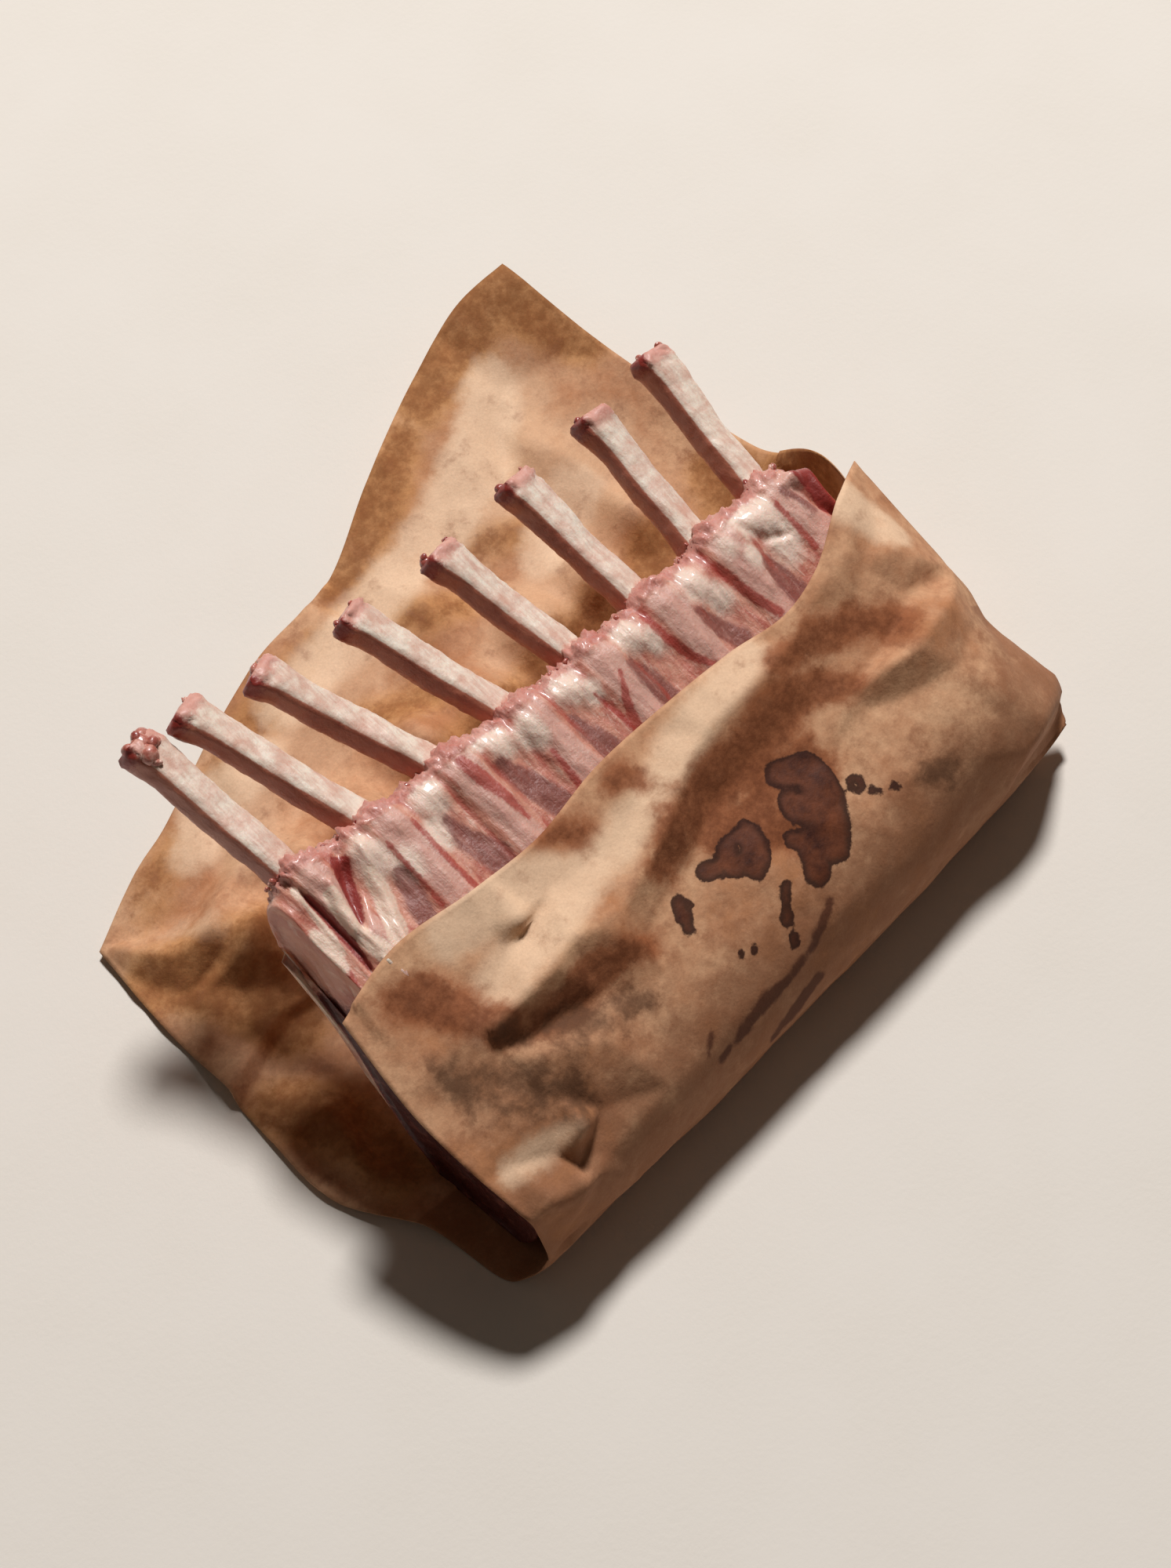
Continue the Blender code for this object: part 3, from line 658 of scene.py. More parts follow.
rack = {
    "start": -108.0, "end": 100.0, "sections": 280, "plinth": 1.35,
    "frenchY": 13.0, "bow": 0.0006, "bowX": 50.0, "scallop": 1.0, "swell": 1.5,
    "endRound": 15.0, "endDrop": 6.0, "front": -80.0, "frontTop": 39.5, "ridgeZ": 78.0,
    "fatWidth": 5.0, "fatTop": 53.5, "gap": 0.3,
    # dark muscle showing through between the ribs: (x, y, z, half width)
    "muscle": (
        ((-73, 2, 73, 2.4), (-75, -5, 71, 3.2), (-78, -15, 69, 3)),
        ((-53, 3, 74, 2), (-53, -4, 72, 3.6), (-50, -12, 69, 4.4), (-50, -20, 66, 4)),
        ((-31, 4, 75, 2.4), (-29, -2, 73, 3.6), (-27, -9, 70, 4.2), (-25, -17, 67, 4)),
        ((-6, -1, 74, 2), (-5, -6, 72, 3), (-4, -12, 70, 3.8), (-3, -19, 67, 4)),
        ((18, -1, 75.5, 1.8), (19, -6, 73, 3.2), (20, -12, 70, 3.6), (21, -20, 67, 3)),
        ((44, -3.5, 74.5, 1.8), (46, -10, 71, 3), (49, -16, 68, 3.4)),
        ((71, -6, 73, 2.2), (71, -12, 71, 3.6), (72, -20, 67, 3.8)),
        ((89.5, 4.5, 78, 1.2), (92, 0, 76, 1.8), (92.5, -4.5, 74, 1.4)),
    ),
    # thin red seams and blushes
    "red": (
        ((-39, 11, 78, 2), (-38, 5, 77, 2.4), (-37, -2, 74, 1.8), (-36, -11, 71, 1)),
        ((31, 6, 77.5, 1.2), (31.5, -2, 75, 1.6), (33.5, -11, 71.5, 1.4), (37, -17, 69, 1)),
        ((13.5, -0.5, 76, 0.8), (9, -7.5, 73, 1.4), (6, -14.5, 69.5, 1.8)),
        ((4, 0, 75, 0.8), (5, -8, 72, 1), (6, -16.5, 68.5, 0.9)),
        ((-17, -3, 74.5, 0.8), (-18, -11, 71, 1.2), (-19, -18.5, 68, 1.2)),
        ((57.5, 8.5, 77, 1.4), (58.5, -1.5, 75.5, 1.6), (60, -11, 71.5, 1.6), (62.5, -18, 68.5, 1.6)),
        ((-60.5, 9.5, 77, 0.9), (-61, -2, 73.5, 1.1), (-61, -15, 69.5, 1.2)),
        ((-70, 10, 76.5, 0.8), (-70.5, -1.5, 73, 0.8), (-71.5, -12.5, 70, 0.8)),
        ((85.5, 3.5, 77, 1), (85.5, -4, 74, 1.2), (85.5, -12, 70.5, 1.2)),
        ((97, 8, 75, 3), (100, 2, 74, 4.5), (100, -5, 70, 4)),
        ((-107, -1, 71.5, 1.8), (-108, -12, 65, 2), (-108, -22, 59, 2)),
        ((-106, 2, 66, 2), (-107, -8, 60, 2.2), (-108, -16, 54, 2)),
    ),
    # grooves and pockets: depth in mm, then (x, y, z, half width)
    "grooves": (
        (3.2, ((-81, 18, 76, 2.6), (-83, 13, 76, 4), (-87, 6, 75, 3.4), (-91.5, -2, 73, 1.6))),
        (1.3, ((-98, 16, 77, 2), (-98, 10, 75, 3.2), (-99, 2, 72, 3.4), (-100, -6, 71, 2.4),
               (-101.5, -13, 68, 1.4))),
        (1.2, ((-94.5, -2.5, 72.5, 1.2), (-94, -10, 71, 2), (-92, -16.5, 69, 1.4))),
        (1.6, ((92, 8, 78, 2), (94, 1, 76, 2.4), (96, -5, 73, 2), (99, -10.5, 69.5, 1.4))),
        (1.0, ((72, 5, 77.5, 1.6), (75, -1, 74, 2.6), (82, -4.5, 73.5, 1.6))),
        (-1.6, ((-76, 14, 77, 2.4), (-79, 8, 74, 4), (-82, -1, 72, 3.6), (-87, -13, 70, 2))),
        (-1.8, ((-90, 13, 77, 2), (-93, 5, 75, 3), (-94, -4, 72, 3), (-94, -13, 70, 2))),
        (-3.0, ((93, 6, 78, 3), (100, 4, 74, 6), (100, -2, 71, 6), (100, -9, 68, 4))),
    ),
    # plump white cushions of fat in each gap: (x, y, z, radius, height)
    "cushions": (
        (-76, 10, 75, 6, 1.6), (-71, 2, 74, 5, 0.9), (-52, 12, 77, 6, 1.4),
        (-57, 2, 74, 5, 0.9), (-32, 13, 77, 4, 1.2), (-27, 9, 77, 5, 1.6),
        (-18, 4, 77, 5, 0.9), (-1, 7, 77, 6, 1.7), (4, 1, 75, 4, 1), (23, 6, 77, 6, 1.9),
        (28, 0, 75, 4, 1), (49, 3, 76, 6, 1.9), (52, -3, 73, 5, 1.2), (74, 8, 76, 7, 1.9),
        (81, 3, 76, 6, 1.5), (80, -4, 73, 7, 1.2), (68, -3, 75, 4, 0.8), (64, 4, 76, 4, 0.6),
    ),
    "raw": (
        ((-83, 15, 77, 3), (-87, 6, 75, 2.4), (-90.5, 0, 73.5, 1.2)),
        ((-98, 14, 76, 1.6), (-98, 7, 74, 2.2), (-99, -3, 71, 2.2), (-100.5, -10, 69, 1.4)),
        ((96, 6, 76, 2.4), (100, 2, 74, 4.6), (100, -5, 70, 5), (100, -12, 64, 5)),
    ),
    "creamy": (
        ((-92, 10, 76, 2.4), (-94, 2, 74, 3.2), (-94, -5, 72, 3.2), (-93, -13, 70, 3.6)),
        ((-79, 8, 74, 2.6), (-81, 1, 72, 3), (-87, -10, 71, 3.4)),
        ((-100, 18, 76.5, 1.6), (-101, 10, 73.5, 1.6), (-103.5, -1.5, 70, 1.6)),
        ((-106, 6, 73, 2.6), (-107, -6, 66, 3), (-107.5, -16, 60, 2.6)),
    ),
}


def ribX(index):
    return ribs["middle"] + ribs["pitch"] * (index - (ribCount - 1) / 2)


def endShare(x):
    inside = np.minimum(x - rack["start"], rack["end"] - x)
    return np.maximum(0.0, 1.0 - inside / rack["endRound"]) ** 2


def frenchY(x):
    return rack["frenchY"] + rack["bow"] * (x - rack["bowX"]) ** 2


def betweenRibs(x):
    return 0.5 - 0.5 * np.cos(2 * np.pi * (x - ribX(0)) / ribs["pitch"])


def meatTop(x, y):
    # rough height of the membrane's side, to keep the paper clear of it
    keysY = (-81, -79, -73, -42, -16, -1, 6)
    keysZ = (0, 31, 39.5, 57, 69.5, 76.5, 79)
    inside = (x > rack["start"] - 2) & (x < rack["end"] + 2)
    return np.where(inside, np.interp(y, keysY, keysZ, left=0, right=0), 0.0)


def outerLine(x):
    edge = frenchY(x) - rack["endDrop"] * endShare(x)
    shift = edge - 17.0
    return smoothPath(((edge - 7.0, rack["fatTop"]), (-5.0 + 0.55 * shift, 40.0),
                       (-20.0 + 0.3 * shift, 20.0), (-38.0, rack["plinth"])), count=25)


def meatSection(x):
    ends = endShare(x)
    gully = betweenRibs(x)
    edge = frenchY(x) - rack["endDrop"] * ends - rack["scallop"] * gully
    low = 2.5 * ends + 1.2 * gully
    swell = rack["swell"] * (1.0 - gully)
    plinth, ridge = rack["plinth"], rack["ridgeZ"]
    front = smoothPath(((-74, plinth), (rack["front"] + 1 + ends, 7),
                        (rack["front"] + 2 * ends, 31 - ends),
                        (-73, rack["frontTop"] - 2 * ends), (-42, 56 + swell / 2 - 2 * ends),
                        (-16, 68 + swell - 2 * ends), (edge - 14, ridge - 3.0 + swell - low),
                        (edge - 7, ridge + swell / 2 - low), (edge - 1.0, 76.4 + swell - low),
                        (edge + 1.5, 70.5 - low), (edge - 3.5, rack["fatTop"] + 3.0)),
                       steps=(3, 8, 5, 16, 28, 24, 10, 8, 8, 12))
    back = outerLine(x)
    back[:, 0] -= rack["fatWidth"] + rack["gap"]
    shelf = np.linspace(front[-1], (back[0][0], rack["fatTop"] + rack["gap"]), 6)[1:]
    bottom = np.linspace((back[-1][0], plinth), front[0], 12)[1:-1]
    section = np.concatenate((front, shelf, back[1:], bottom))
    zone = np.concatenate((np.zeros(112), np.full(10, 1), np.full(len(front) - 122, 2),
                           np.full(len(shelf), 3), np.full(len(back) - 1, 4),
                           np.full(len(bottom), 5)))
    return np.column_stack((np.full(len(section), x), section)), zone


def meatMaterial():
    # Raw lamb under its membrane: wet, pale pink silverskin over grey-pink bone and dark
    # muscle, glossy, with soft light scattered red inside
    material, tree, shader = newMaterial("rawLambMembrane")
    where = addNode(tree, "ShaderNodeTexCoord").outputs["Object"]
    drawn = addNode(tree, "ShaderNodeMapping", {"Vector": where, "Scale": (1, 0.16, 0.4)})
    slanted = addNode(tree, "ShaderNodeMapping", {"Vector": where, "Scale": (1, 0.22, 0.5),
                                                  "Rotation": (0, 0, 0.5)})
    strand = addNode(tree, "ShaderNodeTexNoise", {"Vector": drawn.outputs["Vector"],
                                                  "Scale": perMm(1.6), "Detail": 4.0,
                                                  "Roughness": 0.65, "Distortion": 0.6})
    streak = addNode(tree, "ShaderNodeTexNoise", {"Vector": drawn.outputs["Vector"],
                                                  "Scale": perMm(4.5), "Detail": 4.0,
                                                  "Roughness": 0.62, "Distortion": 0.9})
    sinew = addNode(tree, "ShaderNodeTexNoise", {"Vector": slanted.outputs["Vector"],
                                                 "Scale": perMm(1.4), "Detail": 3.0,
                                                 "Roughness": 0.6, "Distortion": 0.4})
    blotch = addNode(tree, "ShaderNodeTexNoise", {"Vector": where, "Scale": perMm(7),
                                                  "Detail": 4.0, "Roughness": 0.62})
    fine = addNode(tree, "ShaderNodeTexNoise", {"Vector": where, "Scale": perMm(1.5),
                                                "Detail": 4.0, "Roughness": 0.65})
    skin = addNode(tree, "ShaderNodeMix", {0: blotch.outputs["Fac"], 6: srgb("#c67c68"),
                                           7: srgb("#e0a78f")}, data_type="RGBA")
    lines = addNode(tree, "ShaderNodeMapRange", {"Value": streak.outputs["Fac"],
                                                 "From Min": 0.46, "From Max": 0.64,
                                                 "To Max": 0.7})
    skin = addNode(tree, "ShaderNodeMix", {0: lines.outputs["Result"], 6: skin.outputs[2],
                                           7: srgb("#b45c4e")}, data_type="RGBA")
    threads = addNode(tree, "ShaderNodeMapRange", {"Value": strand.outputs["Fac"],
                                                   "From Min": 0.54, "From Max": 0.68,
                                                   "To Max": 0.6})
    skin = addNode(tree, "ShaderNodeMix", {0: threads.outputs["Result"], 6: skin.outputs[2],
                                           7: srgb("#ecc8b6")}, data_type="RGBA")
    pale = addNode(tree, "ShaderNodeMapRange", {"Value": sinew.outputs["Fac"],
                                                "From Min": 0.55, "From Max": 0.68,
                                                "To Max": 0.55})
    under = addNode(tree, "ShaderNodeMix", {0: pale.outputs["Result"], 6: srgb("#874c44"),
                                            7: srgb("#bd8b80")}, data_type="RGBA")
    rim = addNode(tree, "ShaderNodeMix", {0: blotch.outputs["Fac"], 6: srgb("#a8443a"),
                                          7: srgb("#e6b4a4")}, data_type="RGBA")
    flesh = addNode(tree, "ShaderNodeMix", {0: fine.outputs["Fac"], 6: srgb("#7d211d"),
                                            7: srgb("#a8443b")}, data_type="RGBA")
    # dark end colour: the left end's dark membrane, with painted shade
    dark = addNode(tree, "ShaderNodeMix", {0: pale.outputs["Result"], 6: srgb("#56201a"),
                                           7: srgb("#9a5d50")}, data_type="RGBA")
    skin, masks = paintLayers(tree, skin.outputs[2], (
        ("overRib", strand.outputs["Fac"], 0.8, 0.2, 0.9, 0.7, srgb("#dbae9f")),
        ("cushion", blotch.outputs["Fac"], 0.9, 0.1, 0.7, 0.9, srgb("#f0d6c4")),
        ("muscle", sinew.outputs["Fac"], 1.3, 0.15, 0.85, 0.85, under.outputs[2]),
        ("seam", streak.outputs["Fac"], 1.4, 0.35, 1.0, 0.7, srgb("#b04838")),
        ("redSeam", fine.outputs["Fac"], 1.2, 0.25, 0.9, 0.8, srgb("#a8352a")),
        ("ledge", fine.outputs["Fac"], 1.3, 0.25, 0.9, 0.9, rim.outputs[2]),
        ("creamy", blotch.outputs["Fac"], 1.2, 0.3, 0.8, 0.9, srgb("#ecd0bb")),
        ("raw", fine.outputs["Fac"], 1.0, 0.3, 0.75, 1.0, flesh.outputs[2]),
        ("endSkinAndShade", fine.outputs["Fac"], 0.8, 0.3, 0.8, 1.0, dark.outputs[2]),
    ))
    tree.links.new(skin, shader.inputs["Base Color"])
    gloss = addNode(tree, "ShaderNodeMapRange", {"Value": fine.outputs["Fac"],
                                                 "To Min": 0.34, "To Max": 0.55})
    tree.links.new(gloss.outputs["Result"], shader.inputs["Roughness"])
    height = addNode(tree, "ShaderNodeMath", {0: strand.outputs["Fac"], 1: 0.8,
                                              2: fine.outputs["Fac"]},
                     operation="MULTIPLY_ADD")
    bump = addNode(tree, "ShaderNodeBump", {"Height": height.outputs[0], "Strength": 0.7,
                                            "Distance": 0.5 * mm})
    tree.links.new(bump.outputs["Normal"], shader.inputs["Normal"])
    shader.inputs["Subsurface Weight"].default_value = 0.4
    shader.inputs["Subsurface Radius"].default_value = (1.0, 0.4, 0.3)
    shader.inputs["Subsurface Scale"].default_value = 2.5 * mm
    shader.inputs["Coat Weight"].default_value = 0.3
    shader.inputs["Coat Roughness"].default_value = 0.14
    shader.inputs["Coat IOR"].default_value = 1.38
    return material


def makeMeat():
    stations = np.linspace(rack["start"], rack["end"], rack["sections"])
    rings, zone = [], None
    for x in stations:
        ring, zone = meatSection(x)
        rings.append(ring)
    grid = np.array(rings)
    rows, around = grid.shape[:2]
    points = grid.reshape(-1, 3)
    zones = np.tile(zone, rows)
    wrapped = np.concatenate((grid[:, -1:], grid, grid[:, :1]), axis=1)
    normal = gridNormals(wrapped)[:, 1:-1].reshape(-1, 3)
    centre = np.array((0, -40.0, 30.0))
    normal *= np.sign(np.mean(np.einsum("ij,ij->i", normal, points - centre)))
    x, y, z = points.T
    edge = frenchY(x)
    offRib = (x - ribX(0) + ribs["pitch"] / 2) % ribs["pitch"] - ribs["pitch"] / 2
    offRib = np.where(x < ribX(0), x - ribX(0), np.where(x > ribX(7), x - ribX(7), offRib))
    ledge = smoothStep(y, edge - 6.5, edge - 3.0) * smoothStep(z, 56.0, 62.0)
    shownTop = smoothStep(z, 44.0, 56.0) * (zones < 3)
    upper = smoothStep(y, edge - 30.0, edge - 12.0)
    wander = roughness3d(points * np.array((1, 0.5, 1)), 12.0, 2) * 2.0
    height = roughness3d(points, 16.0, 1) * 0.6 * shownTop
    height += roughness3d(points * np.array((1.0, 0.22, 0.5)), 2.8, 2, 2) * 0.55 * shownTop
    height += 0.8 * np.exp(-((offRib + wander * 0.4) / 4.6) ** 2) * shownTop
    valley = np.exp(-((np.abs(offRib + wander * 0.6) - 7.2) / 1.5) ** 2)
    height -= 0.65 * valley * shownTop * (0.5 + 0.5 * upper)
    cushion = np.zeros(len(points))
    for cx, cy, cz, radius, tall in rack["cushions"]:
        away = np.linalg.norm((points - np.array((cx, cy, cz))) * np.array((1, 0.8, 0.8)),
                              axis=1) + wander * 0.5
        here = np.exp(-(away / radius) ** 2 * 1.3)
        height += tall * here
        cushion = np.maximum(cushion, here)
    height += np.abs(roughness3d(points, 4.5, 4, 3)) * 2.5 * ledge
    height += roughness3d(points, 9.0, 8) * 0.35 * (zones == 4)
    for deep, path in rack["grooves"]:
        fall = np.clip(stroke(points, path)[0], 0, 1)
        height -= deep * fall * fall * (3 - 2 * fall)
    moved = points + normal * height[:, None]
    leftEnd = smoothStep(-x, -rack["start"] - 16.0, -rack["start"])
    moved[:, 0] += leftEnd * 4.5 * smoothStep(z, 40.0, 76.0)
    moved[:, 0] -= leftEnd * 1.5 * smoothStep(-z, -40.0, -10.0)
    fields = {
        "overRib": (1 - smoothStep(np.abs(offRib), 3.2, 6.0)) * shownTop * (1 - ledge),
        "seam": valley * shownTop * (1 - cushion) * (0.55 + 0.45 * upper),
        "cushion": cushion,
        "muscle": strokes(points, rack["muscle"], 1.8) * shownTop,
        "redSeam": strokes(points, rack["red"], 1.0) * shownTop,
        "raw": np.maximum(strokes(points, rack["raw"], 1.2),
                          0.8 * (zones == 2) * smoothStep(-z, -73.0, -66.0)),
        "creamy": strokes(points, rack["creamy"], 1.6),
        # the lower part of the left end painted dark: its dark membrane and painted shade
        "endSkinAndShade": smoothStep(-x, 101.0, 105.0) * smoothStep(-z, -54.0, -44.0),
        "ledge": ledge,
    }
    verts = [tuple(p) for p in moved]
    faces = [(r * around + c, r * around + (c + 1) % around,
              (r + 1) * around + (c + 1) % around, (r + 1) * around + c)
             for r in range(rows - 1) for c in range(around)]
    values = {name: list(np.broadcast_to(v, (len(points),))) for name, v in fields.items()}
    # both cut ends: the rim drawn in to a middle, slightly hollow and uneven
    for side, row in ((-1, 0), (1, rows - 1)):
        rim = list(range(row * around, (row + 1) * around))
        outline = moved[rim]
        middle = np.array((outline[:, 0].mean(), -38.0, 27.0))
        previous = rim
        for shrink in (0.985, 0.95, 0.9, 0.82, 0.72, 0.6, 0.46, 0.3, 0.14):
            ring = middle + (outline - middle) * shrink
            lump = roughness3d(ring, 9.0, 11 + side, 3) * 1.6 * (1 - shrink) ** 0.5
            ring[:, 0] += side * (lump - 0.8 + (0.6 if shrink > 0.98 else 0.0))
            first = len(verts)
            verts += [tuple(p) for p in ring]
            # the left cap is painted dark below about 50 mm (dark membrane and painted shade), the right
            # cap all over
            deep = smoothStep(-ring[:, 2], -54.0, -44.0) if side < 0 else np.ones(around)
            painted = {"raw": deep, "endSkinAndShade": deep}
            if side < 0:
                painted["creamy"] = strokes(ring, rack["creamy"], 1.6)
                painted["redSeam"] = strokes(ring, rack["red"], 1.0)
            for name in values:
                values[name] += list(painted.get(name, np.zeros(around)))
            current = list(range(first, first + around))
            for c in range(around):
                n = (c + 1) % around
                faces.append((previous[c], previous[n], current[n], current[c]))
            previous = current
        verts.append(tuple(middle + np.array((side * -0.5, 0, 0))))
        for name in values:
            values[name].append(1.0 if name in ("raw", "endSkinAndShade") else 0.0)
        for c in range(around):
            faces.append((previous[c], previous[(c + 1) % around], len(verts) - 1))
    meat = meshPiece("meatStrip", toRow(verts), faces, meatMaterial(), values)
    fixNormals(meat)
    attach(meat, "root")
    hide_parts("lamb_meat")
    print("meat: %d points" % len(verts))
    return meat


def fixNormals(piece):
    import bmesh
    bm = bmesh.new()
    bm.from_mesh(piece.data)
    bmesh.ops.recalc_face_normals(bm, faces=bm.faces[:])
    bm.to_mesh(piece.data)
    bm.free()


# fat under the meat

def fatMaterial():
    # Raw lamb fat: firm, creamy white with a pink tinge, waxy and faintly shiny
    material, tree, shader = newMaterial("rawLambFat")
    where = addNode(tree, "ShaderNodeTexCoord").outputs["Object"]
    blotch = addNode(tree, "ShaderNodeTexNoise", {"Vector": where, "Scale": perMm(11.0),
                                                  "Detail": 4.0, "Roughness": 0.6})
    fine = addNode(tree, "ShaderNodeTexNoise", {"Vector": where, "Scale": perMm(1.8),
                                                "Detail": 4.0, "Roughness": 0.65})
    pink = addNode(tree, "ShaderNodeMapRange", {"Value": blotch.outputs["Fac"],
                                                "From Min": 0.42, "From Max": 0.68})
    tint = addNode(tree, "ShaderNodeMix", {0: pink.outputs["Result"], 6: srgb("#e4c7b1"),
                                           7: srgb("#c98673")}, data_type="RGBA")
    speck = addNode(tree, "ShaderNodeMapRange", {"Value": fine.outputs["Fac"],
                                                 "From Min": 0.5, "From Max": 0.75,
                                                 "To Max": 0.4})
    full = addNode(tree, "ShaderNodeMix", {0: speck.outputs["Result"], 6: tint.outputs[2],
                                           7: srgb("#a8584a")}, data_type="RGBA")
    bump = addNode(tree, "ShaderNodeBump", {"Height": fine.outputs["Fac"], "Strength": 0.4,
                                            "Distance": 0.5 * mm})
    tree.links.new(full.outputs[2], shader.inputs["Base Color"])
    tree.links.new(bump.outputs["Normal"], shader.inputs["Normal"])
    shader.inputs["Roughness"].default_value = 0.4
    shader.inputs["Subsurface Weight"].default_value = 0.3
    shader.inputs["Subsurface Radius"].default_value = (1.0, 0.6, 0.4)
    shader.inputs["Subsurface Scale"].default_value = 2.0 * mm
    shader.inputs["Coat Weight"].default_value = 0.25
    shader.inputs["Coat Roughness"].default_value = 0.25
    return material


def makeFat():
    rings = []
    for x in np.linspace(rack["start"], rack["end"], 150):
        outer = outerLine(x)
        inner = outer[::-1] - np.array((rack["fatWidth"], 0.0))
        rings.append([(x, y, z) for y, z in np.concatenate((outer, inner))])
    grid = np.array(rings)
    rows, around = grid.shape[:2]
    points = grid.reshape(-1, 3)
    skin = np.tile(np.arange(around) < around // 2, rows)
    lump = roughness3d(points, 16.0, 21, 2) * 0.9 + roughness3d(points, 4.0, 22, 2) * 0.25
    points[:, 1] += np.where(skin & (points[:, 2] > 4), np.maximum(lump, -0.5), 0.0)
    faces = [(r * around + c, r * around + (c + 1) % around,
              (r + 1) * around + (c + 1) % around, (r + 1) * around + c)
             for r in range(rows - 1) for c in range(around)]
    for row in (0, rows - 1):
        half = around // 2
        for c in range(half - 1):
            faces.append((row * around + c, row * around + c + 1,
                          row * around + around - 2 - c, row * around + around - 1 - c))
    fat = meshPiece("fatLayer", toRow(points), faces, fatMaterial())
    fixNormals(fat)
    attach(fat, "root")
    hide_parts("fat_cap")
    print("fat: %d points" % len(points))
    return fat


# ribs

def boneMaterial():
    # Scraped fresh rib bone: chalky ivory on the face that was scraped, with a thin dark
    # red film of meat left along its sides and round the sawn tip
    material, tree, shader = newMaterial("freshRibBone")
    where = addNode(tree, "ShaderNodeTexCoord").outputs["Object"]
    drawn = addNode(tree, "ShaderNodeMapping", {"Vector": where, "Scale": (1, 0.12, 0.6)})
    grain = addNode(tree, "ShaderNodeTexNoise", {"Vector": drawn.outputs["Vector"],
                                                 "Scale": perMm(0.9), "Detail": 4.0,
                                                 "Roughness": 0.7})
    band = addNode(tree, "ShaderNodeTexNoise", {"Vector": drawn.outputs["Vector"],
                                                "Scale": perMm(2.6), "Detail": 3.0,
                                                "Roughness": 0.6})
    blotch = addNode(tree, "ShaderNodeTexNoise", {"Vector": where, "Scale": perMm(6),
                                                  "Detail": 5.0, "Roughness": 0.68})
    fine = addNode(tree, "ShaderNodeTexNoise", {"Vector": where, "Scale": perMm(1.2),
                                                "Detail": 4.0, "Roughness": 0.7})
    pink = addNode(tree, "ShaderNodeMapRange", {"Value": blotch.outputs["Fac"],
                                                "From Min": 0.4, "From Max": 0.68})
    bone = addNode(tree, "ShaderNodeMix", {0: pink.outputs["Result"], 6: srgb("#f0dfcd"),
                                           7: srgb("#d9af9b")}, data_type="RGBA")
    lines = addNode(tree, "ShaderNodeMapRange", {"Value": grain.outputs["Fac"],
                                                 "From Min": 0.5, "From Max": 0.72,
                                                 "To Max": 0.4})
    bone = addNode(tree, "ShaderNodeMix", {0: lines.outputs["Result"], 6: bone.outputs[2],
                                           7: srgb("#bd8471")}, data_type="RGBA")
    long = addNode(tree, "ShaderNodeMapRange", {"Value": band.outputs["Fac"],
                                                "From Min": 0.48, "From Max": 0.66,
                                                "To Max": 0.55})
    bone = addNode(tree, "ShaderNodeMix", {0: long.outputs["Result"], 6: bone.outputs[2],
                                           7: srgb("#cf9a86")}, data_type="RGBA")
    side = addNode(tree, "ShaderNodeMix", {0: band.outputs["Fac"], 6: srgb("#d28c70"),
                                           7: srgb("#9a4636")}, data_type="RGBA")
    tips = addNode(tree, "ShaderNodeMix", {0: blotch.outputs["Fac"], 6: srgb("#c0695c"),
                                           7: srgb("#e0ac9b")}, data_type="RGBA")
    bone, masks = paintLayers(tree, bone.outputs[2], (
        ("film", fine.outputs["Fac"], 0.5, 0.3, 0.75, 1.0, side.outputs[2]),
        ("rootFlesh", blotch.outputs["Fac"], 1.3, 0.35, 0.9, 0.8, srgb("#c17363")),
        ("tipFlesh", fine.outputs["Fac"], 1.1, 0.3, 0.9, 0.85, tips.outputs[2]),
        ("tipRed", fine.outputs["Fac"], 0.9, 0.35, 0.8, 0.95, srgb("#8e2a22")),
    ))
    tree.links.new(bone, shader.inputs["Base Color"])
    shine = addNode(tree, "ShaderNodeMapRange", {"Value": masks["film"], "To Min": 0.5,
                                                 "To Max": 0.35})
    tree.links.new(shine.outputs["Result"], shader.inputs["Roughness"])
    height = addNode(tree, "ShaderNodeMath", {0: grain.outputs["Fac"], 1: 0.9,
                                              2: fine.outputs["Fac"]},
                     operation="MULTIPLY_ADD")
    bump = addNode(tree, "ShaderNodeBump", {"Height": height.outputs[0], "Strength": 0.5,
                                            "Distance": 0.4 * mm})
    tree.links.new(bump.outputs["Normal"], shader.inputs["Normal"])
    shader.inputs["Subsurface Weight"].default_value = 0.2
    shader.inputs["Subsurface Radius"].default_value = (1.0, 0.6, 0.45)
    shader.inputs["Subsurface Scale"].default_value = 1.2 * mm
    shader.inputs["Coat Weight"].default_value = 0.15
    shader.inputs["Coat Roughness"].default_value = 0.3
    return material


def boneFrame(index):
    # root, tip, and the directions along the rib, across it and out of its scraped face
    lean, rise = math.radians(ribs["leans"][index]), math.radians(ribs["rise"])
    ahead = np.array((math.sin(lean), math.cos(lean), 0.0))
    side = np.array((math.cos(lean), -math.sin(lean), 0.0))
    up = np.array((0, 0, 1.0))
    x = ribX(index)
    root = np.array((x + ribs["shift"], frenchY(x), ribs["rootZ"]))
    along = ahead * math.cos(rise) + up * math.sin(rise)
    lift = np.cross(side, along)
    roll = math.radians(ribs["roll"])
    rolledSide = side * math.cos(roll) - lift * math.sin(roll)
    rolledLift = lift * math.cos(roll) + side * math.sin(roll)
    return root, root + along * ribs["lengths"][index], along, rolledSide, rolledLift, ahead


